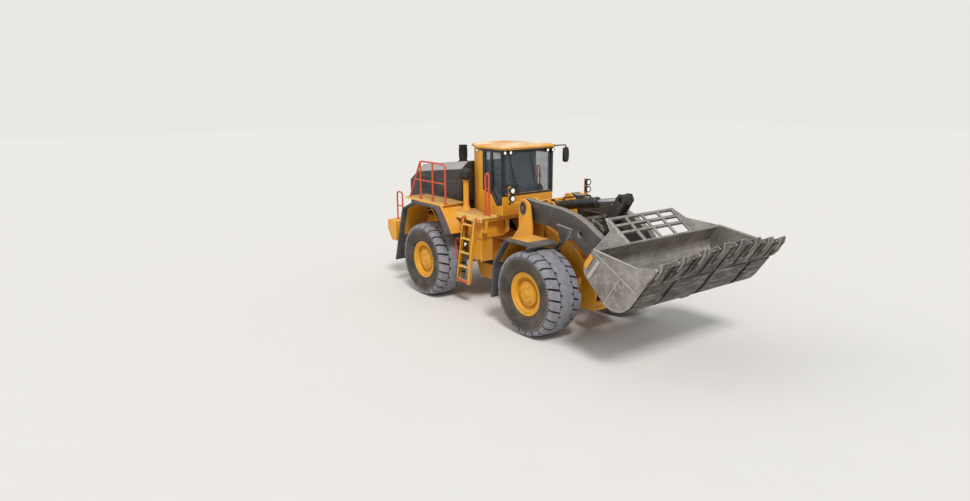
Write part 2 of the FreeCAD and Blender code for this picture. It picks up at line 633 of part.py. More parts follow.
def boom():
    """Two lift arms with bosses, the cross tube between them and the bell crank's ears."""
    arm_points = [
        (d.pivot_x - 60, d.pivot_z + 205), (d.pivot_x + 150, d.pivot_z + 190), (2310, 2880), (2790, 2790),
        (3140, 2650), (3590, 2390), (d.hinge_x - 330, d.hinge_z + 520), (d.hinge_x + 130, d.hinge_z + 110),
        (d.hinge_x - 110, d.hinge_z - 150), (3900, 1400), (3290, 1840), (2750, 2210), (2090, 2400), (1310, 2460),
        (d.pivot_x - 60, d.pivot_z - 200),
    ]
    parts = []
    low, high = d.arm_middle - d.arm_thickness / 2, d.arm_middle + d.arm_thickness / 2
    for name, side in SIDES:
        y0, y1 = across(side, low, high)
        arm = slab(f"arm_{name}", "XZ", arm_points, y0, y1)
        parts.append(arm)
        parts.append(rod(f"arm_heel_{name}", "Y", d.pivot_x, y0, d.pivot_z, d.arm_boss_radius, y1 - y0))
        y0, y1 = across(side, low - 20, high + 20)
        parts.append(rod(f"arm_toe_{name}", "Y", d.hinge_x, y0, d.hinge_z, 185, y1 - y0))
        y0, y1 = across(side, d.ear_inner + d.ear_plate + 15, d.ear_inner + d.ear_plate * 2 + 15)
        crank_ear = [
            (d.cross_tube_x - 60, d.cross_tube_z + 140), (d.cross_tube_x + 160, d.cross_tube_z + 90),
            (d.crank_x + 40, d.crank_z + 120), (d.crank_x + 120, d.crank_z + 20), (d.crank_x + 60, d.crank_z - 110),
            (d.cross_tube_x - 20, d.cross_tube_z - 145),
        ]
        parts.append(slab(f"crank_ear_{name}", "XZ", crank_ear, y0, y1))
        eye_ear = [
            (d.lift_eye_x - 230, d.lift_eye_z + 240), (d.lift_eye_x + 250, d.lift_eye_z + 190),
            (d.lift_eye_x + 130, d.lift_eye_z - 90), (d.lift_eye_x, d.lift_eye_z - 130), (d.lift_eye_x - 110, d.lift_eye_z - 90),
        ]
        for where, offset in (("in", -d.eye_half - 45), ("out", d.eye_half)):
            y0, y1 = across(side, d.arm_middle + offset, d.arm_middle + offset + 45)
            parts.append(slab(f"eye_ear_{where}_{name}", "XZ", eye_ear, y0, y1))
    parts.append(rod("cross_tube", "Y", d.cross_tube_x, -low - 10, d.cross_tube_z, d.cross_tube_radius, (low + 10) * 2))
    body = fuse("boom_body", parts)
    holes = []
    reach = high + 40
    for label, x, z, radius in (
        ("pivot", d.pivot_x, d.pivot_z, d.boom_pin_radius),
        ("hinge", d.hinge_x, d.hinge_z, d.boom_pin_radius),
        ("crank", d.crank_x, d.crank_z, size(70)),
    ):
        holes.append(bore(f"boom_{label}_bore", "Y", x, -reach, z, radius + d.running_gap, reach * 2))
    for name, side in SIDES:
        y0, y1 = across(side, d.arm_middle - d.eye_half, d.arm_middle + d.eye_half)
        holes.append(bore(f"lift_eye_notch_{name}", "Y", d.lift_eye_x, y0, d.lift_eye_z, d.notch_radius, y1 - y0))
    return piece("boom", cut("boom", body, holes))


def cylinder_barrel(label, radius, length, eye_radius, eye_half, inside, pin_radius):
    """A cylinder's barrel along +X from its base pin: eye, neck, tube, gland and a blind bore for the rod."""
    parts = [
        rod(label + "_eye", "Y", 0, -eye_half, 0, eye_radius, eye_half * 2),
        block(label + "_neck", 0, eye_radius + 50, -eye_half, eye_half, -eye_half * 0.8, eye_half * 0.8),
        rod(label + "_tube", "X", eye_radius + 30, 0, 0, radius, length - eye_radius - 30),
        rod(label + "_gland", "X", length - 70, 0, 0, radius + 14, 70),
    ]
    body = fuse(label + "_solid", parts)
    holes = [
        bore(label + "_bore", "X", eye_radius + 15, 0, 0, inside, length),
        bore(label + "_pin_hole", "Y", 0, -eye_half - 5, 0, pin_radius, eye_half * 2 + 10),
    ]
    return cut(label, body, holes)


def cylinder_rod(label, radius, start, length, eye_radius, eye_half, pin_radius):
    """A cylinder's rod along +X, ending in its eye."""
    shaft = rod(label + "_shaft", "X", start, 0, 0, radius, length - start)
    eye = rod(label + "_eye", "Y", length, -eye_half, 0, eye_radius, eye_half * 2)
    hole = bore(label + "_pin_hole", "Y", length, -eye_half - 5, 0, pin_radius, eye_half * 2 + 10)
    return cut(label, fuse(label + "_solid", [shaft, eye]), [hole])


def aim(body, x, y, z, angle):
    """Moves a part that runs along +X to a base pin, and raises it by an angle in degrees."""
    return place(body, x, y, z, Rotation(Vector(0, 1, 0), -angle))


def slope(x0, z0, x1, z1):
    """Angle in degrees and length of the line between two points of a vertical plane."""
    dx, dz = float(x1) - float(x0), float(z1) - float(z0)
    return math.degrees(math.atan2(dz, dx)), math.hypot(dx, dz)


def tilt_cylinder():
    """The tilt cylinder: base pin, barrel and rod."""
    angle, length = slope(d.tilt_base_x, d.tilt_base_z, d.crank_top_x, d.crank_top_z)
    barrel = cylinder_barrel("tilt_barrel", size(115), size(1400), size(120), d.eye_half, size(70.4), 60 + d.running_gap)
    piece("tilt_barrel", aim(barrel, d.tilt_base_x, 0, d.tilt_base_z, angle))
    shaft = cylinder_rod("tilt_rod", size(70), size(820), size(length), size(125), d.eye_half, size(60))
    piece("tilt_rod", aim(shaft, d.tilt_base_x, 0, d.tilt_base_z, angle))
    reach = d.ear_inner + d.ear_plate + 20
    pin = rod("tilt_base_pin", "Y", d.tilt_base_x, -reach, d.tilt_base_z, 60, reach * 2, -angle)
    piece("tilt_base_pin", pin)


def lift_cylinders():
    """Two lift cylinders under the arms."""
    angle, length = slope(d.lift_base_x, d.lift_base_z, d.lift_eye_x, d.lift_eye_z)
    for name, side in SIDES:
        y = d.arm_middle * side
        label = f"lift_barrel_{name}"
        barrel = cylinder_barrel(label, size(105), size(1560), size(115), d.eye_half, size(65.4), 55 + d.running_gap)
        piece(label, aim(barrel, d.lift_base_x, y, d.lift_base_z, angle))
        label = f"lift_rod_{name}"
        shaft = cylinder_rod(label, size(65), size(474), size(length), size(105), d.eye_half - 5, size(50))
        piece(label, aim(shaft, d.lift_base_x, y, d.lift_base_z, angle))


def steering_cylinders():
    """Two steering cylinders beside the hinge, lying level."""
    for name, side in SIDES:
        dx = float(d.steer_eye_x - d.steer_base_x)
        dy = float(d.steer_eye_y - d.steer_base_y) * side
        length = math.hypot(dx, dy)
        turn = Rotation(Vector(0, 0, 1), math.degrees(math.atan2(dy, dx))).multiply(Rotation(Vector(1, 0, 0), 90))
        label = f"steer_barrel_{name}"
        barrel = cylinder_barrel(label, size(72), size(900), size(80), size(52), size(45.4), 35 + d.running_gap)
        piece(label, place(barrel, d.steer_base_x, d.steer_base_y * side, d.steer_z, turn))
        label = f"steer_rod_{name}"
        shaft = cylinder_rod(label, size(45), size(485), size(length), size(75), size(52), size(35))
        piece(label, place(shaft, d.steer_base_x, d.steer_base_y * side, d.steer_z, turn))


def bell_crank():
    """Two plates from the tilt rod's pin past the pivot to the link's pin, joined by a hub and a web."""
    points = [
        (d.crank_top_x - 125, d.crank_top_z + 50), (d.crank_top_x - 60, d.crank_top_z + 130),
        (d.crank_top_x + 80, d.crank_top_z + 130), (d.crank_top_x + 145, d.crank_top_z),
        (d.crank_x + 300, d.crank_z + 150), (d.crank_x + 210, d.crank_z - 250), (d.crank_low_x + 115, d.crank_low_z + 20),
        (d.crank_low_x + 60, d.crank_low_z - 105), (d.crank_low_x - 60, d.crank_low_z - 105),
        (d.crank_low_x - 115, d.crank_low_z + 20), (d.crank_x - 120, d.crank_z - 130), (d.crank_x - 110, d.crank_z + 65),
        (d.crank_x + 104, d.crank_z + 314),
    ]
    parts = []
    for name, side in SIDES:
        y0, y1 = across(side, d.ear_inner, d.ear_inner + d.ear_plate)
        plate = slab(f"crank_plate_{name}", "XZ", points, y0, y1)
        parts.append(plate)
    reach = d.ear_inner + d.ear_plate
    parts.append(rod("crank_hub", "Y", d.crank_x, -reach - 5, d.crank_z, 130, (reach + 5) * 2))
    web = [
        (d.crank_x - 60, d.crank_z + 90), (d.crank_x + 180, d.crank_z + 170), (d.crank_x + 170, d.crank_z - 260),
        (d.crank_low_x + 60, d.crank_low_z + 420), (d.crank_low_x - 20, d.crank_low_z + 420), (d.crank_x - 70, d.crank_z - 140),
    ]
    parts.append(slab("crank_web", "XZ", web, -d.ear_inner - 5, d.ear_inner + 5))
    body = fuse("bell_crank_body", parts)
    lean, _ = slope(d.crank_low_x, d.crank_low_z, d.link_pin_x, d.link_pin_z)
    holes = [
        bore("crank_bore", "Y", d.crank_x, -200, d.crank_z, 70 + d.running_gap, 400),
        bore("crank_top_bore", "Y", d.crank_top_x, -200, d.crank_top_z, 60, 400),
        bore("crank_low_bore", "Y", d.crank_low_x, -200, d.crank_low_z, 60 + d.running_gap, 400, -lean),
    ]
    piece("bell_crank", cut("bell_crank", body, holes))
    reach = d.ear_inner + d.ear_plate * 2 + 35
    piece("crank_pin", rod("crank_pin", "Y", d.crank_x, -reach, d.crank_z, 70, reach * 2))
    reach = d.ear_inner + d.ear_plate + 20
    piece("link_pin", rod("link_pin", "Y", d.crank_low_x, -reach, d.crank_low_z, 60, reach * 2, -lean))


def bucket_link():
    """The link from the bell crank's lower pin to the bucket's upper pin."""
    angle, length = slope(d.crank_low_x, d.crank_low_z, d.link_pin_x, d.link_pin_z)
    parts = [
        block("link_bar", 60, length - 60, -45, 45, -70, 70),
        rod("link_eye_rear", "Y", 0, -d.eye_half, 0, 115, d.eye_half * 2),
        rod("link_eye_front", "Y", length, -d.eye_half, 0, 115, d.eye_half * 2),
    ]
    holes = [
        bore("link_hole_rear", "Y", 0, -100, 0, 60 + d.running_gap, 200),
        bore("link_hole_front", "Y", length, -100, 0, 60, 200),
    ]
    link = cut("bucket_link", fuse("link_body", parts), holes)
    piece("bucket_link", aim(link, d.crank_low_x, 0, d.crank_low_z, angle))


def bucket_pins():
    """Hinge pins of the bucket, through the arms' toes."""
    pins = doc.addObject("Part::Compound", "bucket_pins")
    links = []
    for name, side in SIDES:
        low, high = across(side, d.arm_middle - d.arm_thickness / 2 - 110, d.arm_middle + d.arm_thickness / 2 + 110)
        links.append(rod(f"bucket_pin_{name}", "Y", d.hinge_x, low, d.hinge_z, d.boom_pin_radius, high - low))
    pins.Links = links
    return piece("bucket_pins", pins)


def in_bucket(x, z):
    """A point of the machine's middle plane, in the bucket's own frame: along its floor, and up from it."""
    a = math.radians(float(d.bucket_back_angle))
    dx, dz = float(x) - float(d.bucket_x), float(z) - float(d.bucket_z)
    return dx * math.cos(a) + dz * math.sin(a), dz * math.cos(a) - dx * math.sin(a)


def bucket():
    """The bucket in its own frame, floor level along +X, then rolled back into place."""
    half = d.bucket_width / 2
    lip, nose = d.bucket_lip, d.bucket_nose
    wall = d.bucket_wall
    back = -d.bucket_depth
    rim_points = [
        (lip, 0), (back, 0), (-230, d.bucket_height + 20), (360, d.bucket_height), (870, 280), (lip, 45),
    ]
    skin_points = rim_points[:3] + [
        (330, d.bucket_height + 10), (330, d.bucket_height - wall), (-230 + wall, d.bucket_height - wall),
        (back + wall, wall), (lip, wall),
    ]
    skin_points = softened(skin_points, {1: d.bucket_heel, 2: 240, 5: 200, 6: d.bucket_heel - wall}, 7)
    parts = [slab("bucket_skin", "XZ", skin_points, -half + d.bucket_side - 1, half - d.bucket_side + 1)]
    for name, side in SIDES:
        y0, y1 = across(side, half - d.bucket_side, half)
        parts.append(slab(f"bucket_side_{name}", "XZ", softened(rim_points, {1: d.bucket_heel, 2: 240}, 7), y0, y1))
    lip_points = [(lip - 260, -half), (lip, -half), (lip + nose, -450), (lip + nose, 450), (lip, half), (lip - 260, half)]
    parts.append(slab("bucket_lip", "XY", lip_points, -12, 58))
    parts += bucket_teeth(half, lip, nose)
    parts += bucket_ears(back)
    parts += spill_guard(half)
    body = fuse("bucket_body", parts)
    hinge = in_bucket(d.hinge_x, d.hinge_z)
    link = in_bucket(d.link_pin_x, d.link_pin_z)
    holes = [
        bore("bucket_hinge_bore", "Y", hinge[0], -1100, hinge[1], d.boom_pin_radius + d.running_gap, 2200),
        bore("bucket_link_bore", "Y", link[0], -200, link[1], 60, 400),
    ]
    body = cut("bucket", body, holes)
    turn = Rotation(Vector(0, 1, 0), -float(d.bucket_back_angle))
    return piece("bucket", place(body, d.bucket_x, 0, d.bucket_z, turn))


def bucket_teeth(half, lip, nose):
    """Eight broad teeth along the lip, each a tapered wedge over and under the edge."""
    parts = []
    count = 8
    for i in range(count):
        y = (float(half) - 110) * (2 * i / (count - 1) - 1)
        flat = 450.0
        reach = float(nose) * min(1.0, (float(half) - abs(y)) / (float(half) - flat))
        x = float(lip) + reach
        tip = x + float(d.tooth_reach)
        points = [(x - 190, 78), (x - 60, 82), (tip - 25, 28), (tip, 0), (x + 30, -64), (x - 190, -64)]
        parts.append(slab(f"bucket_tooth_{i + 1}", "XZ", points, y - 85, y + 85))
    return parts


def bucket_ears(back):
    """Ears on the back plate for the two hinge pins and the link's pin."""
    hinge = in_bucket(d.hinge_x, d.hinge_z)
    link = in_bucket(d.link_pin_x, d.link_pin_z)
    parts = []
    lean = (-230 - float(back)) / (float(d.bucket_height) + 20)

    def inside(height):
        return float(back) + lean * height + 22

    for name, side in SIDES:
        inner = d.arm_middle - d.arm_thickness / 2 - 95
        for label, low in (("in", inner), ("out", d.arm_middle + d.arm_thickness / 2 + 35)):
            y0, y1 = across(side, low, low + 60)
            points = [
                (hinge[0] - 130, hinge[1] - 110), (hinge[0] - 130, hinge[1] + 110), (hinge[0], hinge[1] + 175),
                (inside(hinge[1] + 420), hinge[1] + 420), (inside(hinge[1] - 40), hinge[1] - 40),
                (inside(hinge[1] - 40) - 20, hinge[1] - 130), (hinge[0], hinge[1] - 165),
            ]
            parts.append(slab(f"bucket_ear_{label}_{name}", "XZ", points, y0, y1))
        y0, y1 = across(side, d.ear_inner, d.ear_inner + d.ear_plate)
        points = [
            (link[0] - 110, link[1] - 90), (link[0] - 110, link[1] + 90), (link[0], link[1] + 140),
            (inside(link[1] + 200), link[1] + 200), (inside(link[1] - 350), link[1] - 350), (link[0] + 40, link[1] - 150),
        ]
        parts.append(slab(f"link_ear_{name}", "XZ", points, y0, y1))
    return parts


def spill_guard(half):
    """Sloped shoulders above the back plate, with open bars between them."""
    low = float(d.bucket_height)
    top = float(d.guard_height)
    parts = []
    for name, side in SIDES:
        points = [
            (float(half) * side, low - 30), ((float(half) - 20) * side, low), (1200 * side, low + 380),
            (1060 * side, top), (980 * side, top), (980 * side, low - 30),
        ]
        parts.append(slab(f"guard_shoulder_{name}", "YZ", points, 318, 348))
    for label, z in (("top", top - 45), ("middle", top - 250), ("low", top - 450)):
        parts.append(block(f"guard_bar_{label}", 303, 363, -1050, 1050, z - 30, z + 30))
    for i, y in enumerate((-990, -495, 0, 495, 990)):
        parts.append(block(f"guard_post_{i + 1}", 309, 357, y - 30, y + 30, low - 30, top - 20))
    return parts


def cab():
    """The cab: a hollow shell with pillars, its roof, its glass, a floor with seat, and the left door."""
    front, side_rear, rear = d.cab_front_x, d.cab_side_rear_x, d.cab_rear_x
    half, rear_half, wall = d.cab_half, d.cab_rear_half, d.cab_wall
    plan = [(front, -half), (front, half), (side_rear, half), (rear, rear_half), (rear, -rear_half), (side_rear, -half)]
    room = [
        (front - wall, -half + wall), (front - wall, half - wall), (side_rear - 10, half - wall),
        (rear + wall, rear_half - 30), (rear + wall, -rear_half + 30), (side_rear - 10, -half + wall),
    ]
    shell = slab("cab_outer", "XY", plan, CAB_FLOOR, d.cab_top_z)
    holes = [slab("cab_room", "XY", room, CAB_FLOOR + 60, d.cab_top_z + 10)]
    far = half + 50
    sill, shoulder, top = d.cab_sill_z, d.cab_shoulder_z, d.cab_top_z
    holes.append(block("windscreen_hole", front - wall - 20, front + 50, -half + wall, half - wall, sill, top - 70))
    holes.append(block("rear_window_hole", rear - 50, rear + wall + 50, -rear_half + 70, rear_half - 70, shoulder, top - 90))
    door_points = [
        (front - wall, top - 60), (front - wall, sill - 190), (front - 210, sill - 220), (front - 420, shoulder - 60),
        (-520, shoulder), (-520, top - 60),
    ]
    holes.append(slab("side_window_hole", "XZ", door_points, -far, size(0)))
    door_hole = [
        (front - wall, top - 60), (front - wall, CAB_FLOOR + 60), (-520, CAB_FLOOR + 60), (-520, top - 60),
    ]
    holes.append(slab("door_hole", "XZ", door_hole, size(0), far))
    piece("cab_shell", cut("cab_shell", shell, holes))
    over = d.roof_overhang
    roof_plan = [
        (front + over, -half - 20), (front + over, half + 20), (side_rear - 40, half + 20), (rear - over, rear_half + 40),
        (rear - over, -rear_half - 40), (side_rear - 40, -half - 20),
    ]
    rim_low = d.cab_top_z + d.seat_gap
    roof = slab("roof_slab", "XY", roof_plan, rim_low, d.cab_top_z + d.roof_height)
    doc.recompute()
    edges = []
    for number, edge in enumerate(roof.Shape.Edges, start=1):
        box = edge.BoundBox
        if box.ZMin > float(d.cab_top_z + d.roof_height) - 0.1:
            edges.append(number)
    crown = doc.addObject("Part::Chamfer", "roof_crown")
    crown.Base = roof
    crown.Edges = [(n, 50.0, 50.0) for n in edges]
    piece("cab_roof", crown)
    glass_parts()
    door(door_points)
    seat()


def glass_parts():
    """Fixed window panes, each set in the middle of its wall."""
    front, rear = d.cab_front_x, d.cab_rear_x
    half, rear_half, wall = d.cab_half, d.cab_rear_half, d.cab_wall
    sill, shoulder, top = d.cab_sill_z, d.cab_shoulder_z, d.cab_top_z
    gap = d.seat_gap
    panes = [
        block("windscreen", front - 40, front - 28, -half + wall + gap, half - wall - gap, sill + gap, top - 70 - gap),
        block("rear_window", rear + 28, rear + 40, -rear_half + 70 + gap, rear_half - 70 - gap, shoulder + gap, top - 90 - gap),
    ]
    side_points = [
        (front - wall - gap, top - 60 - gap), (front - wall - gap, sill - 190 + gap), (front - 210, sill - 220 + gap),
        (front - 420, shoulder - 60 + gap), (-520 + gap, shoulder + gap), (-520 + gap, top - 60 - gap),
    ]
    panes.append(slab("side_window", "XZ", side_points, -half + 28, -half + 40))
    glass = doc.addObject("Part::Compound", "cab_glass")
    glass.Links = panes
    piece("cab_glass", glass)


def door(window_points):
    """The left door, one frame with its window pane as a node of its own."""
    front, half = d.cab_front_x, d.cab_half
    low, high = CAB_FLOOR + 66, d.cab_top_z - 66
    edge = -520 + d.seat_gap
    leaf_points = [(front - d.cab_wall - 6, high), (front - d.cab_wall - 6, low), (edge, low), (edge, high)]
    leaf = slab("door_leaf", "XZ", leaf_points, half - 55, half)
    sill, shoulder = d.cab_sill_z, d.cab_shoulder_z
    window = [
        (front - 140, high - 70), (front - 140, sill - 170), (front - 250, sill - 180), (front - 430, shoulder),
        (-440, shoulder + 20), (-440, high - 70),
    ]
    hole = slab("door_window_hole", "XZ", window, half - 90, half + 30)
    piece("cab_door", cut("cab_door", leaf, [hole]))
    gap = d.seat_gap
    pane = [
        (front - 140 - gap, high - 70 - gap), (front - 140 - gap, sill - 170 + gap), (front - 250, sill - 180 + gap),
        (front - 430, shoulder + gap), (-440 + gap, shoulder + 20 + gap), (-440 + gap, high - 70 - gap),
    ]
    piece("door_glass", slab("door_glass", "XZ", pane, half - 36, half - 24))


def seat():
    """The driver's seat and the steering column, on the cab's floor."""
    floor = CAB_FLOOR + 60 + d.seat_gap
    parts = [
        block("seat_base", -900, -480, -200, 200, floor, floor + 330),
        block("seat_cushion", -960, -380, -270, 270, floor + 320, floor + 460),
    ]
    back = [(-960, floor + 440), (-820, floor + 440), (-900, floor + 1180), (-1010, floor + 1180)]
    parts.append(slab("seat_back", "XZ", back, size(-250), size(250)))
    piece("driver_seat", fuse("driver_seat", parts))
    column = [(-40, floor), (90, floor), (60, floor + 520), (-150, floor + 720), (-190, floor + 690), (-30, floor + 440)]
    parts = [slab("column", "XZ", column, size(-110), size(110))]
    wheel = rod("steering_wheel", "Z", -170, 0, floor + 700, 190, 30)
    parts.append(wheel)
    piece("steering_column", fuse("steering_column", parts))


def hood():
    """The engine hood: a shell with sloping shoulders, and openings for the side doors and the rear grille."""
    front, rear, half, wall = d.hood_front_x, d.hood_rear_x, d.hood_half, d.hood_wall
    low, crown = d.walkway_z, d.hood_top_z
    skirt = size(1960)
    bend = rear + 420
    runs = ((front, crown, bend, d.hood_tail_z + 120), (bend, d.hood_tail_z + 120, rear, d.hood_tail_z - 160))
    shells = []
    for label, inset in (("outer", size(0)), ("inner", wall)):
        pieces = []
        for i, (x0, z0, x1, z1) in enumerate(runs):
            start = x0 - inset if i == 0 else x0
            end = x1 + inset if i == 1 else x1
            side, level = half - inset, z0 - inset
            ring = [
                (-side, 1500), (side, 1500), (side, level - 190), (side - 210, level), (-side + 210, level),
                (-side, level - 190),
            ]
            fall = (float(z1) - float(z0)) / (float(x1) - float(x0))
            run = doc.addObject("Part::Extrusion", f"hood_{label}_{i + 1}")
            run.Base = outline(f"hood_{label}_{i + 1}_outline", "YZ", ring, start)
            run.DirMode = "Custom"
            run.Dir = Vector(-1, 0, -fall)
            run.Solid = True
            run.LengthFwd = math.hypot(1, fall) * (float(start) - float(end))
            pieces.append(run)
        shells.append(fuse(f"hood_{label}", pieces))
    holes = [shells[1]]
    holes.append(block("hood_open_base", rear - 10, front + 10, -half - 10, half + 10, 900, skirt))
    holes.append(block("hood_open_foot", -3450, front + 10, -half - 10, half + 10, skirt - 10, low))
    door_low, door_high = low + 60, low + 560
    holes.append(block("hood_door_holes", -3700, -1750, -half - 10, half + 10, door_low, door_high))
    holes.append(block("grille_hole", rear - 10, rear + wall + 20, -half + 90, half - 90, 2020, d.hood_tail_z - 420))
    holes.append(bore("exhaust_hole", "Z", d.exhaust_x, d.exhaust_y, 3200, d.exhaust_radius + 15, 600))
    piece("hood", cut("hood", shells[0], holes))
    for name, side in SIDES:
        y0, y1 = across(side, half - 34, half - 4)
        leaf = block(f"engine_door_{name}", -3694, -1756, y0, y1, door_low + 6, door_high - d.seat_gap)
        piece(f"engine_door_{name}", leaf)
    grille_parts(rear, half, wall)
    engine = block("engine", -3300, -1800, -450, 450, 1900 + d.seat_gap, 3150)
    piece("engine", engine)


def grille_parts(rear, half, wall):
    """The radiator grille at the hood's rear, a framed door with bars."""
    low, high = 2026, float(d.hood_tail_z) - 426
    y0, y1 = -half + 96, half - 90 - d.seat_gap
    frame = block("grille_frame", rear, rear + wall - 8, y0, y1, low, high)
    hole = block("grille_inside", rear - 10, rear + wall + 10, y0 + 60, y1 - 60, low + 60, high - 60)
    parts = [cut("grille_ring", frame, [hole])]
    count = 9
    for i in range(count):
        z = low + 60 + (high - low - 120) * (i + 0.5) / count
        parts.append(block(f"grille_bar_{i + 1}", rear + 10, rear + wall - 10, y0 + 50, y1 - 50, z - 22, z + 22))
    piece("rear_grille", fuse("rear_grille", parts))


def rear_body():
    """Counterweight, walkways, side platforms, ladders, tanks and rear fenders."""
    top, low, rear = d.weight_top_z, d.weight_low_z, d.weight_rear_x
    points = [
        (rear + 40, -d.weight_half), (rear + 520 - d.seat_gap, -d.weight_half), (rear + 520 - d.seat_gap, d.weight_half),
        (rear + 40, d.weight_half), (rear, d.weight_half - 260), (rear, -d.weight_half + 260),
    ]
    weight = slab("weight_block", "XY", points, low, top)
    crown = block("weight_crown", rear + 60, rear + 520 - d.seat_gap, -1050, 1050, top - 20, 1940)
    slope_cut = slab("weight_slope", "XZ", [(rear - 10, low - 10), (rear + 270, low - 10), (rear - 10, top - 200)], -d.weight_half - 10, d.weight_half + 10)
    slot = block("hitch_slot", rear - 10, rear + 190, -110, 110, low - 10, low + 330)
    pin_hole = doc.addObject("Part::Cylinder", "hitch_bore")
    bind(pin_hole, "Radius", d.hitch_radius)
    pin_hole.Height = 190
    place(pin_hole, rear + 95, 0, low + 120)
    ears = [block(f"hitch_ear_{i}", rear + 10, rear + 260, -110.5, 110.5, low + z, low + z + 50) for i, z in ((1, 140), (2, 240))]
    body = fuse("weight_solid", [cut("weight_cut", fuse("weight_body", [weight, crown]), [slope_cut, slot])] + ears)
    piece("counterweight", cut("counterweight", body, [pin_hole]))
    for name, side in SIDES:
        parts = walkway(name, side) + platform(name, side)
        piece(f"platform_{name}", fuse(f"platform_{name}", parts))
        side_boxes(name, side)
        rear_fender(name, side)


def walkway(name, side):
    """The walkway beside the hood, on brackets from the frame."""
    top, low = d.walkway_z, d.walkway_z - d.deck_plate
    y0, y1 = across(side, d.hood_half + d.seat_gap, d.walkway_half)
    parts = [block(f"walkway_plate_{name}", -3300, -1330, y0, y1, low, top)]
    foot, edge = d.rail_outer + d.seat_gap, d.fender_inner - 5
    for i, x in enumerate((-3160, -2250, -1450)):
        points = [
            (foot * side, 1700), ((foot + 90) * side, 1700), (edge * side, 2350), (edge * side, low + 10),
            ((d.hood_half + 6) * side, low + 10), ((d.hood_half + 6) * side, 2480), ((foot + 20) * side, 1890),
            (foot * side, 1890),
        ]
        parts.append(slab(f"walkway_bracket_{name}_{i + 1}", "YZ", points, size(x), size(x + 60)))
    return parts


def platform(name, side):
    """The platform beside the cab, a step up to the walkway, and the ladder."""
    low = d.deck_z - d.deck_plate
    y0, y1 = across(side, size(300), d.deck_half)
    parts = [block(f"platform_plate_{name}", -1265, -30, y0, y1, low, d.deck_z)]
    y0, y1 = across(side, d.hood_half + 10, d.fender_inner - 5)
    parts.append(block(f"platform_riser_{name}", -1360, -1255, y0, y1, low, d.walkway_z - 20))
    for label, x_top, x_low in (("rear", -770, -1095), ("front", -300, -625)):
        points = [(x_top, d.deck_z - 30), (x_top + 60, d.deck_z - 30), (x_low + 60, 560), (x_low, 560)]
        y0, y1 = across(side, d.deck_half - 20, d.deck_half + 80)
        parts.append(slab(f"ladder_{label}_{name}", "XZ", points, y0, y1))
    for i in range(5):
        z = 600 + i * 380
        x_shift = -325 * (2390 - z) / 1830
        y0, y1 = across(side, d.deck_half - 15, d.deck_half + 75)
        parts.append(block(f"ladder_step_{name}_{i + 1}", -740 + x_shift, -270 + x_shift, y0, y1, z, z + 40))
    return parts


def side_boxes(name, side):
    """The tank and the tool box between the wheels."""
    beam = d.deck_z - d.deck_plate - 110 - d.seat_gap * 2
    y0, y1 = across(side, d.rail_outer + d.seat_gap, size(1180))
    tank = block(f"tank_body_{name}", -800, -210, y0, y1, 1820, beam)
    y0, y1 = across(side, size(800), size(1150))
    box = block(f"tool_box_{name}", -825, -240, y0, y1, 1210, 1830)
    piece(f"side_tank_{name}", fuse(f"side_tank_{name}", [tank, box]))


def rear_fender(name, side):
    """The arch over a rear wheel."""
    top = d.walkway_z - d.deck_plate - d.seat_gap
    skin = d.fender_skin
    x = d.wheelbase / -2
    rows = [(x - 1440, 740), (x - 970, 2300), (x - 370, top), (x + 730, top), (x + 1090, 2120), (x + 1230, 1890)]
    inner_rows = [
        (x - 1385, 740), (x - 925, 2265), (x - 358, top - skin), (x + 704, top - skin), (x + 1047, 2085), (x + 1173, 1890),
    ]
    y0, y1 = across(side, d.fender_inner, d.fender_half)
    arch = slab(f"fender_arch_{name}", "XZ", rows + inner_rows[::-1], y0, y1)
    piece(f"rear_fender_{name}", arch)


def front_fender(name, side):
    """The fender over a front wheel."""
    x = d.wheelbase / 2
    rows = [(x - 1230, 660), (x - 1140, 1540), (x - 690, 2170), (x + 60, 2170), (x + 180, 2110)]
    inner_rows = [(x - 1175, 660), (x - 1087, 1520), (x - 662, 2115), (x + 50, 2115), (x + 160, 2060)]
    y0, y1 = across(side, d.tower_outer + d.tower_plate / 2 + d.seat_gap, d.fender_half - 20)
    arch = slab(f"front_arch_{name}", "XZ", rows + inner_rows[::-1], y0, y1)
    piece(f"front_fender_{name}", arch)


# Handrails: name, where the posts stand, distance from the centre line, foot, top, and which sides have it.
HANDRAILS = (
    ("walkway", (-2580, -1975, -1370), d.walkway_half - 80, d.walkway_z, 3630, (1, -1)),
    ("grab", (-200, -60), d.deck_half - 240, d.deck_z, 3450, (-1,)),
    ("door", (-860, -740), d.deck_half - 60, d.deck_z, 3450, (1,)),
    ("tail", (-4380, -4080), size(1200), d.weight_top_z, 2560, (1, -1)),
)


def handrails(name, side):
    """Tube rails that stand on the walkway, the platform and the counterweight."""
    parts = []
    thick = d.handrail_radius
    for label, posts, half, foot, top, sides in HANDRAILS:
        if side not in sides:
            continue
        start = foot + d.seat_gap
        for i, x in enumerate(posts):
            parts.append(rod(f"{label}_post_{name}_{i + 1}", "Z", x, half * side, start, thick, top - start))
        run = posts[-1] - posts[0]
        parts.append(rod(f"{label}_top_{name}", "X", posts[0] - thick, half * side, top, thick, run + thick * 2))
        if len(posts) > 2:
            middle = (foot + top) / 2
            parts.append(rod(f"{label}_middle_{name}", "X", posts[0], half * side, middle, thick * 0.8, run))
            brace = [(posts[0] - 594, start), (posts[0] - 546, start), (posts[0] + 20, top), (posts[0] - 28, top)]
            y0, y1 = across(side, half - 20, half + 20)
            parts.append(slab(f"{label}_brace_{name}", "XZ", brace, y0, y1))
    piece(f"handrails_{name}", fuse(f"handrails_{name}", parts))


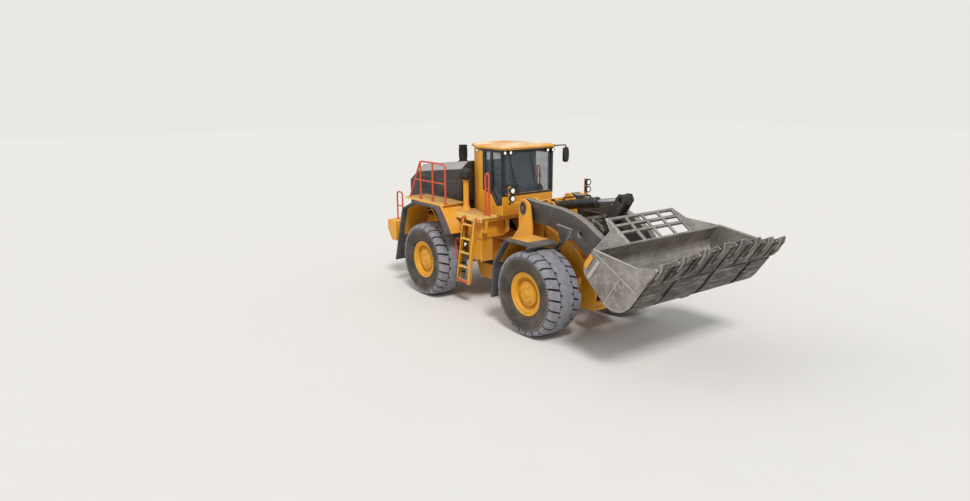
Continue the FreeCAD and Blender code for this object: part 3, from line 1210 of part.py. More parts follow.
def headlamp(name, side):
    """Two lamps one above the other, on a bracket from the tower."""
    start = d.tower_outer + d.tower_plate / 2 + d.seat_gap
    y0, y1 = across(side, start, size(1330))
    parts = [block(f"lamp_bracket_{name}", 990, 1090, y0, y1, 2850, 2900)]
    y0, y1 = across(side, size(1215), size(1275))
    parts.append(block(f"lamp_post_{name}", 990, 1040, y0, y1, 2890, 3280))
    for i, z in enumerate((3010, 3195)):
        parts.append(rod(f"lamp_{name}_{i + 1}", "X", 1020, 1245 * side, z, 85, 110))
    piece(f"headlamp_{name}", fuse(f"headlamp_{name}", parts))


def outfit():
    """Exhaust, pre-cleaner, and the mirror on its arm."""
    start = 3150 + d.seat_gap
    stack = rod("exhaust_stack", "Z", d.exhaust_x, d.exhaust_y, start, d.exhaust_radius, 3990 - start)
    piece("exhaust_stack", stack)
    start = d.deck_z + d.seat_gap
    stem = rod("cleaner_stem", "Z", -1100, -1010, start, 75, 3240 - start)
    bowl = rod("cleaner_bowl", "Z", -1100, -1010, 3220, 150, 260)
    piece("pre_cleaner", fuse("pre_cleaner", [stem, bowl]))
    edge = d.cab_half + 20 + d.seat_gap
    arm = block("mirror_arm", d.cab_front_x - 8, d.cab_front_x + 28, edge, 1290, d.cab_top_z + 20, d.cab_top_z + 56)
    drop = block("mirror_drop", d.cab_front_x - 8, d.cab_front_x + 28, 1254, 1290, d.cab_top_z - 80, d.cab_top_z + 40)
    glass = block("mirror_head", d.cab_front_x - 30, d.cab_front_x + 50, 1180, 1364, d.cab_top_z - 420, d.cab_top_z - 20)
    piece("mirror", fuse("mirror", [arm, drop, glass]))


wheels()
axle("front_axle", d.wheelbase / 2, -1)
axle("rear_axle", d.wheelbase / -2, 1)
rear_frame()
front_frame()
boom()
tilt_cylinder()
lift_cylinders()
steering_cylinders()
bell_crank()
bucket_link()
bucket_pins()
bucket()
cab()
hood()
rear_body()
for name, side in SIDES:
    front_fender(name, side)
    handrails(name, side)
    headlamp(name, side)
outfit()
doc.recompute()

for item in doc.Objects:
    if any(state in item.State for state in ("Invalid", "Error")):
        raise RuntimeError(f"{item.Name} failed: {item.State}")
os.makedirs("parts", exist_ok=True)
for node, body in PIECES.items():
    if body.Shape.isNull() or not body.Shape.isValid():
        raise RuntimeError(f"{node} has no valid shape")
    body.Shape.exportStep(f"parts/{node}.step")
print(f"{len(PIECES)} pieces written")
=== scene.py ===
"""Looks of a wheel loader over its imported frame: each piece rides on the CAD body that carries it."""

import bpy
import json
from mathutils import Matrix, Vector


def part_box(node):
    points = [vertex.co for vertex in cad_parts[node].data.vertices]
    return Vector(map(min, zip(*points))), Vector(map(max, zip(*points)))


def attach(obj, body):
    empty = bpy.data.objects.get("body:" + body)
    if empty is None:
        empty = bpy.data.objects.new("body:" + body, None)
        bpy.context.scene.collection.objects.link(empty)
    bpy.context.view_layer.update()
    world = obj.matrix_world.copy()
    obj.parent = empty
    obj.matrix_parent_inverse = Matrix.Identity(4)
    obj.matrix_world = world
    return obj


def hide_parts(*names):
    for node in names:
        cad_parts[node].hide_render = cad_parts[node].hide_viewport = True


bl_info = {
    "name": "Wheel Loader Looks",
    "version": (1, 0, 0),
    "blender": (4, 5, 0),
    "location": "3D View > Sidebar > Loader",
    "description": "Builds the surfaces and finishes of a wheel loader round its CAD frame",
    "category": "Add Mesh",
}

import json
import math

import bmesh
import bpy
import numpy as np
from bpy.props import FloatProperty, FloatVectorProperty, IntProperty, PointerProperty
from mathutils import Matrix, Vector

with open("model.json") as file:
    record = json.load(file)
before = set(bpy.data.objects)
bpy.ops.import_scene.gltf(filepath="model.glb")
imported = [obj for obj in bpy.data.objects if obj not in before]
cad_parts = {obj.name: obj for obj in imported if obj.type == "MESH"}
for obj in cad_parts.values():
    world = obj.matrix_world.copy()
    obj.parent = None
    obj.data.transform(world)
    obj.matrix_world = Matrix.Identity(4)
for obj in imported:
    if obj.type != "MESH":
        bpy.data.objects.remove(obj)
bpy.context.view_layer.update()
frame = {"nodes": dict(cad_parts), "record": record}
MM = 0.001
METRE = 1000  # in mm
# The surfaces are drawn from the steering hinge, which stands this far ahead of the frame's own origin (mm).
ORIGIN = np.array((876.0, 0.0, 0.0))
BODY_OF = {node: body for body, nodes in frame["record"]["behaviour"]["bodies"].items() for node in nodes}
SIDES = (("left", 1), ("right", -1))
WHEELS = ("front_left", "front_right", "rear_left", "rear_right")


def linear(code):
    """An sRGB hex colour as linear red, green and blue."""
    parts = np.array([int(code[i : i + 2], 16) for i in (1, 3, 5)]) / 255
    return tuple(np.where(parts <= 0.04045, parts / 12.92, ((parts + 0.055) / 1.055) ** 2.4).tolist())


def span_of(node):
    """The low and high corners of a CAD node's box, in millimetres from the steering hinge."""
    return tuple(np.array(corner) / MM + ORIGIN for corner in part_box(node))


def middle_of(node):
    """The middle of a CAD node's box, in millimetres from the steering hinge."""
    low, high = span_of(node)
    return (low + high) / 2


# Surfaces.


def grid(points, close_u=False, close_v=False):
    """A sheet of four-sided faces over an array of points P(u, v); either way round may be closed."""
    rows, columns = points.shape[:2]
    index = np.arange(rows * columns).reshape(rows, columns)
    u = np.vstack([index, index[:1]]) if close_u else index
    u = np.hstack([u, u[:, :1]]) if close_v else u
    quads = np.stack([u[:-1, :-1], u[1:, :-1], u[1:, 1:], u[:-1, 1:]], axis=-1).reshape(-1, 4)
    return points.reshape(-1, 3), quads.tolist()


def turns(count):
    """Evenly spaced angles round a full turn."""
    return np.linspace(0, 2 * np.pi, count, endpoint=False)


AXES = {"X": (1, 2, 0), "Y": (2, 0, 1), "Z": (0, 1, 2)}


def lathe(profile, centre, axis="Y", around=64, closed=True):
    """A profile of (radius, distance along the axis) turned about the axis:
    P(i, t) = centre + distance_i along the axis + radius_i (cos t, sin t) across it."""
    profile = np.asarray(profile, float)
    turn = turns(around)
    points = np.zeros((len(profile), around, 3))
    first, second, along = AXES[axis]
    points[..., first] = profile[:, :1] * np.cos(turn)
    points[..., second] = profile[:, :1] * np.sin(turn)
    points[..., along] = profile[:, 1:]
    points += np.asarray(centre, float)
    verts, faces = grid(points, close_u=closed, close_v=True)
    if not closed:
        last = (len(profile) - 1) * around
        faces += [list(range(around)), list(range(last, last + around))]
    return verts, faces


def solid(profile, centre, axis="Y", around=32):
    """A profile turned about an axis and closed by flat ends."""
    return lathe(profile, centre, axis, around, closed=False)


AREAS = {"XY": (0, 1, 2), "XZ": (0, 2, 1), "YZ": (1, 2, 0)}


def plate(points, plane, low, high):
    """A flat outline carried square to its plane: corner k of layer j is (a_k, b_k) at level j."""
    flat = np.asarray(points, float)
    count = len(flat)
    first, second, third = AREAS[plane]
    verts = np.empty((2 * count, 3))
    verts[:, [first, second]] = np.tile(flat, (2, 1))
    verts[:, third] = np.repeat([low, high], count)
    k = np.arange(count)
    after = (k + 1) % count
    faces = np.stack([k, after, after + count, k + count], axis=1).tolist()
    return verts, faces + [k.tolist(), (k + count).tolist()]


def box(x0, x1, y0, y1, z0, z1):
    """A straight run of a rectangle from one level to another."""
    return plate([(x0, y0), (x1, y0), (x1, y1), (x0, y1)], "XY", z0, z1)


def filleted(points, reach, steps=5):
    """A path whose corners are parabolas: (1-t)^2 A + 2t(1-t) C + t^2 B, with A and B a reach away
    from corner C."""
    points = np.asarray(points, float)
    t = np.linspace(0, 1, steps)[:, None]
    result = [points[:1]]
    for before, corner, after in zip(points, points[1:], points[2:]):
        back, ahead = before - corner, after - corner
        a = corner + back * min(reach / np.linalg.norm(back), 0.49)
        b = corner + ahead * min(reach / np.linalg.norm(ahead), 0.49)
        result.append((1 - t) ** 2 * a + 2 * t * (1 - t) * corner + t**2 * b)
    return np.vstack(result + [points[-1:]])


def tube(path, radius, sides=12):
    """A ring of the given radius carried along a path: P(i, t) = path_i + radius (n_i cos t + b_i sin t)."""
    path = np.asarray(path, float)
    ahead = np.gradient(path, axis=0)
    ahead /= np.linalg.norm(ahead, axis=1, keepdims=True)
    fixed = np.eye(3)[np.argmin(np.abs(ahead).max(axis=0))]
    normal = np.cross(ahead, fixed)
    normal /= np.linalg.norm(normal, axis=1, keepdims=True)
    other = np.cross(ahead, normal)
    turn = turns(sides)[:, None]
    ring = normal[:, None] * np.cos(turn) + other[:, None] * np.sin(turn)
    radius = np.broadcast_to(np.asarray(radius, float), (len(path),))
    verts, faces = grid(path[:, None] + ring * radius[:, None, None], close_v=True)
    last = (len(path) - 1) * sides
    return verts, faces + [list(range(sides)), list(range(last, last + sides))]


def bolts(places, axis, size, height):
    """Six-sided heads, one at each place, standing along an axis: one head's corners added to every place."""
    turn = turns(6)
    first, second, along = AXES[axis]
    head = np.zeros((12, 3))
    head[:, first] = np.tile(np.cos(turn), 2) * size / 2
    head[:, second] = np.tile(np.sin(turn), 2) * size / 2
    head[6:, along] = height
    places = np.asarray(places, float).reshape(-1, 3)
    verts = (places[:, None] + head).reshape(-1, 3)
    k = np.arange(6)
    one = np.stack([k, (k + 1) % 6, (k + 1) % 6 + 6, k + 6], axis=1)
    starts = np.arange(len(places)) * 12
    faces = (one[None] + starts[:, None, None]).reshape(-1, 4).tolist()
    for start in starts.tolist():
        faces += [list(range(start, start + 6)), list(range(start + 6, start + 12))]
    return verts, faces


def circle_of(centre, axis, radius, count, start=0.0):
    """Evenly spaced places round a circle square to an axis."""
    turn = turns(count) + start
    first, second, _ = AXES[axis]
    places = np.zeros((count, 3))
    places[:, first], places[:, second] = radius * np.cos(turn), radius * np.sin(turn)
    return places + np.asarray(centre, float)


def bolt_circle(centre, axis, radius, count, size, height, start=0.0):
    """Evenly spaced bolt heads round a circle."""
    return bolts(circle_of(centre, axis, radius, count, start), axis, size, height)


def pillow(centre, half, power=0.35, around=40, rings=24):
    """A crowned pad: a superellipsoid, whose cosines and sines are raised to a small power."""
    u = np.linspace(-np.pi / 2, np.pi / 2, rings)[:, None]
    v = turns(around)[None]

    def soft(value, share=power):
        return np.sign(value) * np.abs(value) ** share

    points = np.stack(
        [
            soft(np.cos(u), 0.5) * soft(np.cos(v)), soft(np.cos(u), 0.5) * soft(np.sin(v)),
            soft(np.sin(u), 0.8) + 0 * v
        ],
        axis=-1,
    )
    points = points * np.asarray(half, float) + np.asarray(centre, float)
    return grid(points, close_v=True)


def leaned(part, centre, axis, degrees):
    """A part turned about an axis through a centre."""
    verts, faces = part
    turn = np.array(Matrix.Rotation(math.radians(degrees), 3, axis))
    return (np.asarray(verts) - centre) @ turn.T + centre, faces


def ring_plate(outer, inner, plane, low, high):
    """A flat frame between two outlines of as many corners, carried square to its plane."""
    count = len(outer)
    out, _ = plate(outer, plane, low, high)
    within, _ = plate(inner, plane, low, high)
    k = np.arange(count)
    after = (k + 1) % count
    shift = 2 * count
    bands = [
        (k, after, after + shift, k + shift),
        (k + count, after + count, after + count + shift, k + count + shift)
    ]
    bands += [
        (k, after, after + count, k + count),
        (k + shift, after + shift, after + count + shift, k + count + shift)
    ]
    return np.vstack([out, within]), np.concatenate([np.stack(band, axis=1) for band in bands]).tolist()


# Edges that turn by more than this are eased, or else kept sharp; CAD faces that turn by less are merged.
SHARP = math.radians(32)
FLAT = math.radians(0.6)
# Points nearer to each other than this are one, on a drawn surface and on a CAD form (m).
WELD, CAD_WELD = 1e-6, 2e-5


def finish_mesh(obj, bevel, edge=-1):
    """Eases the edges of a piece and shades it. An edge's finish of -1 is that of the faces beside it."""
    obj.data.polygons.foreach_set("use_smooth", np.ones(len(obj.data.polygons), dtype=bool))
    if bevel:
        rounder = obj.modifiers.new("eased edges", "BEVEL")
        rounder.width = bevel * MM
        rounder.segments = 2
        rounder.limit_method = "ANGLE"
        rounder.angle_limit = SHARP
        rounder.use_clamp_overlap = False
        rounder.harden_normals = True
        rounder.material = edge
    else:
        obj.data.set_sharp_from_angle(angle=SHARP)


def piece(name, parts, looks, body, replaces=(), bevel=0, wear=None):
    """One object from (surface, number of its finish in looks) pairs in millimetres, riding on a body."""
    verts, faces, slots, start = [], [], [], 0
    for (points, loops), number in parts:
        points = np.asarray(points, float)
        verts.append(points)
        faces += [[index + start for index in loop] for loop in loops]
        slots += [number] * len(loops)
        start += len(points)
    mesh = bpy.data.meshes.new(name)
    mesh.from_pydata(((np.vstack(verts) - ORIGIN) * MM).tolist(), [], faces)
    for look in looks:
        mesh.materials.append(look)
    mesh.polygons.foreach_set("material_index", slots)
    if wear is not None:
        layer = mesh.attributes.new("wear", "FLOAT_COLOR", "POINT")
        layer.data.foreach_set("color", np.asarray(wear, float).ravel())
    work = bmesh.new()
    work.from_mesh(mesh)
    bmesh.ops.remove_doubles(work, verts=work.verts, dist=WELD)
    bmesh.ops.recalc_face_normals(work, faces=work.faces)
    work.to_mesh(mesh)
    work.free()
    obj = bpy.data.objects.new(name, mesh)
    bpy.context.scene.collection.objects.link(obj)
    finish_mesh(obj, bevel)
    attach(obj, body)
    for node in replaces:
        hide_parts(node)
    return obj


def dressed(node, looks, rule=None, cuts=(), bevel=7, edge=-1):
    """A CAD node's own form with eased edges. Its copy is merged and split at the cuts (axis number, level
    in mm), and each face takes the finish that the rule gives from its middle (mm) and its normal."""
    name = node + "_finish"
    mesh = frame["nodes"][node].data.copy()
    mesh.name = name
    mesh.materials.clear()
    for look in looks:
        mesh.materials.append(look)
    work = bmesh.new()
    work.from_mesh(mesh)
    bmesh.ops.remove_doubles(work, verts=work.verts, dist=CAD_WELD)
    bmesh.ops.dissolve_limit(work, angle_limit=FLAT, verts=work.verts, edges=work.edges)
    for axis, level in cuts:
        normal = Vector(np.eye(3)[axis])
        at = normal * (level - ORIGIN[axis]) * MM
        everything = work.verts[:] + work.edges[:] + work.faces[:]
        bmesh.ops.bisect_plane(work, geom=everything, dist=WELD, plane_co=at, plane_no=normal)
    for face in work.faces:
        middle = np.array(face.calc_center_median()) / MM + ORIGIN
        face.material_index = rule(middle, np.array(face.normal)) if rule else 0
    work.to_mesh(mesh)
    work.free()
    obj = bpy.data.objects.new(name, mesh)
    bpy.context.scene.collection.objects.link(obj)
    finish_mesh(obj, bevel, edge)
    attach(obj, BODY_OF[node])
    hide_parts(node)
    return obj


# Finishes.


def add(tree, kind, inputs=None, **fields):
    """Adds a node with its settings; an input takes a value or another node's socket."""
    made = tree.nodes.new(kind)
    for name, value in fields.items():
        setattr(made, name, value)
    for name, value in (inputs or {}).items():
        if isinstance(value, bpy.types.NodeSocket):
            tree.links.new(value, made.inputs[name])
        else:
            made.inputs[name].default_value = value
    return made


def rgba(colour):
    """A hex code or a linear colour, with full alpha."""
    return (*(linear(colour) if isinstance(colour, str) else tuple(colour)), 1.0)


def blank(name):
    """A new material with an empty tree."""
    material = bpy.data.materials.new(name)
    material.use_nodes = True
    material.node_tree.nodes.clear()
    return material, material.node_tree


def mixed(tree, share, first, second):
    """A colour between two, by a share from 0 to 1."""
    return add(tree, "ShaderNodeMix", {0: share, 6: first, 7: second}, data_type="RGBA").outputs[2]


def spread(tree, value, low, high, start=0.0, end=1.0):
    """A value carried from one span to another, and held at its ends."""
    inputs = {"Value": value, "From Min": low, "From Max": high, "To Min": start, "To Max": end}
    return add(tree, "ShaderNodeMapRange", inputs).outputs["Result"]


def times(tree, first, second, operation="MULTIPLY"):
    """Two values multiplied, or joined by another operation."""
    return add(tree, "ShaderNodeMath", {0: first, 1: second}, operation=operation).outputs[0]


def noise(tree, place, span_mm, detail=4.0, rough=0.55):
    """Noise whose patches are about the given span across."""
    inputs = {"Vector": place, "Scale": METRE / span_mm, "Detail": detail, "Roughness": rough}
    return add(tree, "ShaderNodeTexNoise", inputs).outputs["Fac"]


def stripes(tree, place, scale, way):
    """Soft stripes that follow one another along an axis."""
    wave = add(tree, "ShaderNodeTexWave", {"Vector": place, "Scale": scale}, bands_direction=way)
    return wave.outputs["Fac"]


def surface(tree, inputs):
    """Ends the tree with one surface shader."""
    shader = add(tree, "ShaderNodeBsdfPrincipled", inputs)
    add(tree, "ShaderNodeOutputMaterial", {"Surface": shader.outputs[0]})
    return shader


def coated(
    name, colour, dust="#8C7D68", dusty=0.35, rough=0.42, metal=0.0, patch=650, relief=0.12, reach=2600
):
    """A coat with dust: broad patches, thinner with height and thicker on what faces up, mix the dust in, and
    fine grain breaks the gloss. What faces up takes extra pale dust, which is also a painted highlight from
    above."""
    material, tree = blank(name)
    place = add(tree, "ShaderNodeTexCoord").outputs["Object"]
    broad = spread(tree, noise(tree, place, patch, 6.0, 0.62), 0.36, 0.68)
    fine = noise(tree, place, 16, 3.0)
    height = add(tree, "ShaderNodeSeparateXYZ", {"Vector": place}).outputs["Z"]
    low = spread(tree, height, 0.0, reach * MM, 1.0, 0.3)
    normal = add(tree, "ShaderNodeNewGeometry").outputs["Normal"]
    up = add(tree, "ShaderNodeSeparateXYZ", {"Vector": normal}).outputs["Z"]
    # Faces turned up take more of the pale dust colour: real dust, and a painted highlight of the light from
    # above.
    up_dust_and_highlight = spread(tree, up, 0.45, 0.97, 0.0, 1.15)
    share = times(tree, times(tree, times(tree, broad, low), times(tree, up_dust_and_highlight, broad), "ADD"), dusty)
    shade = mixed(tree, spread(tree, fine, 0.3, 0.7, 0.0, 0.12), rgba(colour), rgba("#1A1712"))
    bump = add(tree, "ShaderNodeBump", {"Height": fine, "Strength": relief, "Distance": 0.0025})
    dull = times(tree, share, spread(tree, fine, 0.3, 0.7), "ADD")
    surface(
        tree,
        {
            "Base Color": mixed(tree, share, shade, rgba(dust)),
            "Metallic": metal,
            "Roughness": spread(tree, dull, 0.0, 1.6, rough, min(rough + 0.4, 0.95)),
            "Normal": bump.outputs[0],
        },
    )
    return material


def rock_rubber(name, colour, top):
    """Carbon-black rubber. The lugs' tops are scuffed pale grey, the walls hold brown dust, and the grooves
    keep a painted shade, as the dust thins down them. The wear attribute's red is how scuffed a point is, its
    green how deep in a groove it lies."""
    material, tree = blank(name)
    place = add(tree, "ShaderNodeTexCoord").outputs["Object"]
    marks = add(tree, "ShaderNodeAttribute", attribute_name="wear").outputs["Color"]
    parts = add(tree, "ShaderNodeSeparateColor", {"Color": marks})
    wear, deep = parts.outputs["Red"], parts.outputs["Green"]
    scuff = spread(tree, noise(tree, place, 150, 7.0, 0.7), 0.28, 0.62, 0.5, 1.0)
    grit = noise(tree, place, 11, 4.0)
    # Down a groove the dust thins to a tenth, which leaves a painted shade in the grooves.
    clear = spread(tree, deep, 0.0, 1.0, 1.0, 0.1)
    film = times(tree, spread(tree, noise(tree, place, 380, 5.0), 0.36, 0.66, 0.2, 0.8), clear)
    dust_and_groove_shade = mixed(tree, film, rgba(colour), rgba("#63574A"))
    shade = mixed(tree, times(tree, wear, scuff), dust_and_groove_shade, rgba(top))
    height = times(tree, grit, scuff)
    bump = add(tree, "ShaderNodeBump", {"Height": height, "Strength": 0.45, "Distance": 0.004})
    rough = spread(tree, grit, 0.3, 0.7, 0.72, 0.95)
    surface(tree, {"Base Color": shade, "Roughness": rough, "Normal": bump.outputs[0]})
    return material


def scoured_steel(name, colour, dark, along=(1.0, 1.0, 1.0), metal=0.55):
    """Bare steel scoured by rock: bright streaks drawn along one way over brown-grey scale."""
    material, tree = blank(name)
    place = add(tree, "ShaderNodeTexCoord").outputs["Object"]
    drawn = add(tree, "ShaderNodeMapping", {"Vector": place, "Scale": along}).outputs[0]
    streak = noise(tree, drawn, 90, 8.0, 0.7)
    patch = noise(tree, place, 520, 6.0, 0.65)
    scale = mixed(tree, spread(tree, patch, 0.4, 0.66), rgba(colour), rgba(dark))
    film = spread(tree, noise(tree, place, 260, 6.0), 0.5, 0.72, 0.0, 0.4)
    dusty = mixed(tree, film, scale, rgba("#8A7C69"))
    shade = mixed(tree, spread(tree, streak, 0.5, 0.7, 0.0, 0.5), dusty, rgba("#C4BFB6"))
    bump = add(tree, "ShaderNodeBump", {"Height": streak, "Strength": 0.4, "Distance": 0.003})
    rough = spread(tree, streak, 0.4, 0.7, 0.62, 0.38)
    surface(tree, {"Base Color": shade, "Metallic": metal, "Roughness": rough, "Normal": bump.outputs[0]})
    return material


# A stripe's pitch in mm gives a wave texture's scale by METRE / pitch / WAVE.
WAVE = 6.28


def chequered(name, colour, pitch=60):
    """Painted tread plate: raised bars in two directions, worn pale on top."""
    material, tree = blank(name)
    place = add(tree, "ShaderNodeTexCoord").outputs["Object"]
    waves = []
    for turn in (math.radians(45), math.radians(-45)):
        inputs = {"Vector": place, "Rotation": (0, 0, turn), "Scale": (1.0, 2.6, 1.0)}
        turned = add(tree, "ShaderNodeMapping", inputs).outputs[0]
        waves.append(stripes(tree, turned, METRE / pitch / WAVE, "X"))
    raised = spread(tree, times(tree, *waves, "MAXIMUM"), 0.82, 0.95)
    dust = spread(tree, noise(tree, place, 380, 6.0), 0.35, 0.65, 0.1, 0.75)
    shade = mixed(tree, dust, rgba(colour), rgba("#8F816C"))
    bump = add(tree, "ShaderNodeBump", {"Height": raised, "Strength": 0.6, "Distance": 0.006})
    worn = mixed(tree, times(tree, raised, 0.5), shade, rgba("#CDB98A"))
    surface(tree, {"Base Color": worn, "Roughness": 0.6, "Normal": bump.outputs[0]})
    return material


def tinted_pane(name, colour, clear):
    """Green-grey laminated glass with a film of dust: mostly see-through, and glossy."""
    material, tree = blank(name)
    place = add(tree, "ShaderNodeTexCoord").outputs["Object"]
    film = spread(tree, noise(tree, place, 300, 5.0), 0.35, 0.7, 0.0, 0.16)
    alpha = times(tree, film, 1 - clear, "ADD")
    surface(
        tree,
        {
            "Base Color": rgba(colour),
            "Roughness": spread(tree, film, 0.0, 0.16, 0.03, 0.2),
            "IOR": 1.52,
            "Alpha": alpha,
            "Specular IOR Level": 1.0,
        },
    )
    return material


def lit_lens(name, colour, glow):
    """A ribbed polycarbonate lens, lit from behind."""
    material, tree = blank(name)
    place = add(tree, "ShaderNodeTexCoord").outputs["Object"]
    ribs = stripes(tree, place, 14.0, "Y")
    bump = add(tree, "ShaderNodeBump", {"Height": ribs, "Strength": 0.3, "Distance": 0.003})
    surface(
        tree,
        {
            "Base Color": rgba(colour),
            "Roughness": 0.12,
            "Normal": bump.outputs[0],
            "Emission Color": rgba(colour),
            "Emission Strength": glow,
        },
    )
    return material


def woven(name, colour, thread=9):
    """Heavy seat cloth: two crossed waves, thread by thread, drawn coarser than real so that it shows."""
    material, tree = blank(name)
    place = add(tree, "ShaderNodeTexCoord").outputs["Object"]
    weave = times(tree, *(stripes(tree, place, METRE / thread / WAVE, way) for way in ("X", "Y")))
    shade = mixed(tree, weave, rgba(colour), rgba("#5A5D63"))
    bump = add(tree, "ShaderNodeBump", {"Height": weave, "Strength": 0.5, "Distance": 0.002})
    surface(tree, {"Base Color": shade, "Roughness": 0.9, "Normal": bump.outputs[0], "Sheen Weight": 0.3})
    return material


FINISHES = {}


def finish(name):
    """One of the machine's finishes, made the first time it is asked for."""
    if name not in FINISHES:
        FINISHES[name] = RECIPES[name](bpy.context.scene.loader_colours)
    return FINISHES[name]


def finishes(*names):
    """Several finishes, in order."""
    return [finish(name) for name in names]


RECIPES = {
    # Two-part enamel sprayed on steel: an even warm yellow, satin, with cream road dust and a painted
    # highlight on what faces up.
    "yellow_enamel": lambda c: coated("yellow_enamel_on_steel", c.yellow, "#E6C79B", dusty=0.3),
    # The same enamel where boots and rock have rubbed its edges pale.
    "yellow_edge": lambda c: coated("yellow_enamel_rubbed_edge", "#EFC566", "#E2C79E", rough=0.5),
    # The cab's roof keeps the palest dust of all, which is also the strongest painted highlight.
    "yellow_roof": lambda c: coated("yellow_enamel_on_roof", c.yellow, "#EFDDBE", dusty=0.72, reach=4200),
    # Rims are sprayed apart and stay cleaner and brighter.
    "yellow_rim": lambda c: coated(
        "yellow_enamel_on_rims", c.rim, "#A98B55", dusty=0.3, rough=0.36, patch=380
    ),
    # Charcoal enamel of the hood's sides: dark, nearly neutral, a little glossy.
    "charcoal_enamel": lambda c: coated("charcoal_enamel_on_hood", c.charcoal, dusty=0.3, rough=0.36),
    # Grey enamel of the hood's top, painted pale as a highlight of the sky's light on it.
    "grey_enamel": lambda c: coated("hood_top_enamel_sky_highlight", c.hood_top, "#B9B0A6", dusty=0.45, rough=0.4),
    # Dark grey enamel of the lift arms, matt with rock dust.
    "arm_enamel": lambda c: coated(
        "grey_enamel_on_lift_arms", c.arm, rough=0.55, patch=300, relief=0.25, reach=5200
    ),
    # The arms' plate edges, where the enamel is scraped off and the steel shows.
    "arm_edge": lambda c: coated(
        "scraped_plate_edge", "#96918A", dusty=0.3, rough=0.5, metal=0.35, patch=200
    ),
    # Black enamel of cylinders, crank and link: glossy under a thin film of dust.
    "black_enamel": lambda c: coated(
        "black_enamel_on_cylinders", "#17181B", dusty=0.26, rough=0.3, patch=280, reach=6000
    ),
    # Hard chrome ground round: bright, mirror smooth.
    "chrome": lambda c: coated(
        "hard_chrome_ground", "#C9CCCF", dusty=0.08, rough=0.16, metal=1.0, relief=0.02
    ),
    # Turned pins, bare steel under grease.
    "pin_steel": lambda c: coated("turned_pin_steel", "#77736C", dusty=0.4, rough=0.4, metal=0.85, patch=90),
    # Orange-red enamel of handrails, drawn tube.
    "rail_enamel": lambda c: coated("orange_enamel_on_tube", c.rail, dusty=0.15, rough=0.4, patch=220),
    # Moulded rubber of fender edges and flaps: dark grey, matt.
    "moulded_rubber": lambda c: coated(
        "moulded_fender_rubber", c.fender, rough=0.75, patch=260, relief=0.35, reach=5200
    ),
    # Black moulded plastic of cab frames, mirrors and caps.
    "black_plastic": lambda c: coated("moulded_black_plastic", "#141517", dusty=0.14, rough=0.45, reach=6000),
    # Grey plastic of the cab's lining.
    "lining": lambda c: coated("cab_lining_plastic", "#494D52", dusty=0.1, rough=0.7),
    # Heat-blackened steel of the exhaust.
    "burnt_steel": lambda c: coated(
        "heat_blackened_steel", "#1D1C1D", dusty=0.3, rough=0.6, metal=0.4, patch=160
    ),
    # Painted cast iron of the engine.
    "cast_iron": lambda c: coated("painted_cast_iron", "#3F4143", dusty=0.4, rough=0.65, relief=0.5),
    # Tyre rubber, scuffed by rock, with painted shade in its grooves.
    "tread_rubber": lambda c: rock_rubber("rock_tyre_rubber", c.tyre, c.tyre_top),
    # Plate of the bucket, scoured across its width by what it digs.
    "bucket_steel": lambda c: scoured_steel("scoured_bucket_steel", c.bucket, "#7A756F", (1.0, 0.12, 1.0)),
    # The bucket's underside between its wear plates: dark steel, a painted shade under the bucket.
    "bucket_underside_painted_shade": lambda c: scoured_steel(
        "bucket_underside_painted_shade_steel", "#2B2926", "#1B1A18", (0.3, 0.6, 0.3), 0.35
    ),
    # Bolted wear plates of hard steel under the floor, painted darker than the plate that rock scours, as the
    # shade under the bucket.
    "wear_plate_painted_shade": lambda c: scoured_steel("segment_plate_painted_shade", "#47433E", "#2B2825", (1.0, 0.15, 1.0), 0.4),
    # Cast teeth, ground bright at their points.
    "tooth_steel": lambda c: scoured_steel("ground_tooth_steel", "#6F6A64", "#423E3A", (0.2, 1.0, 0.2), 0.6),
    # Weld seams and plate edges that rock keeps bright.
    "weld_edge": lambda c: coated(
        "bright_scraped_edge", "#C4C0B8", dusty=0.15, rough=0.4, metal=0.6, patch=120
    ),
    # Tread plate of the decks under yellow enamel.
    "tread_plate": lambda c: chequered("yellow_tread_plate", c.yellow),
    # Laminated glass of the cab.
    "glass": lambda c: tinted_pane("tinted_laminated_glass", "#586871", 0.8),
    # Polycarbonate over lit lamps.
    "lamp_glass": lambda c: lit_lens("lit_lamp_lens", "#F1ECE0", 0.25),
    # Red polycarbonate of the tail lamps.
    "tail_lens": lambda c: lit_lens("red_tail_lens", "#A3120C", 0.15),
    # Silvered glass of the mirror.
    "mirror_glass": lambda c: coated(
        "silvered_mirror_glass", "#B9C2C6", dusty=0.05, rough=0.08, metal=1.0, relief=0.0
    ),
    # Heavy cloth of the seat.
    "seat_cloth": lambda c: woven("woven_seat_cloth", "#25272B"),
}


# What a user may change.


class LoaderSizes(bpy.types.PropertyGroup):
    """Sizes of the looks that the CAD frame leaves open."""

    lugs: IntProperty(name="Lugs", description="Shoulder blocks round a tyre", default=24, min=12, max=60)
    groove: FloatProperty(
        name="Groove", description="Depth of the cross grooves in the tread", default=0.062, unit="LENGTH"
    )
    edge: FloatProperty(
        name="Edge", description="Width of the eased edges on plate", default=0.007, unit="LENGTH"
    )
    rail: FloatProperty(name="Rail", description="Radius of the handrail tube", default=0.024, unit="LENGTH")
    pipe: FloatProperty(
        name="Pipe", description="Radius of the hydraulic pipes", default=0.019, unit="LENGTH"
    )
    rim_nuts: IntProperty(
        name="Rim nuts", description="Nuts round a planetary hub", default=24, min=6, max=40
    )


def paint(name, description, code):
    """A colour that a user may change."""
    return FloatVectorProperty(name=name, description=description, subtype="COLOR", default=linear(code))


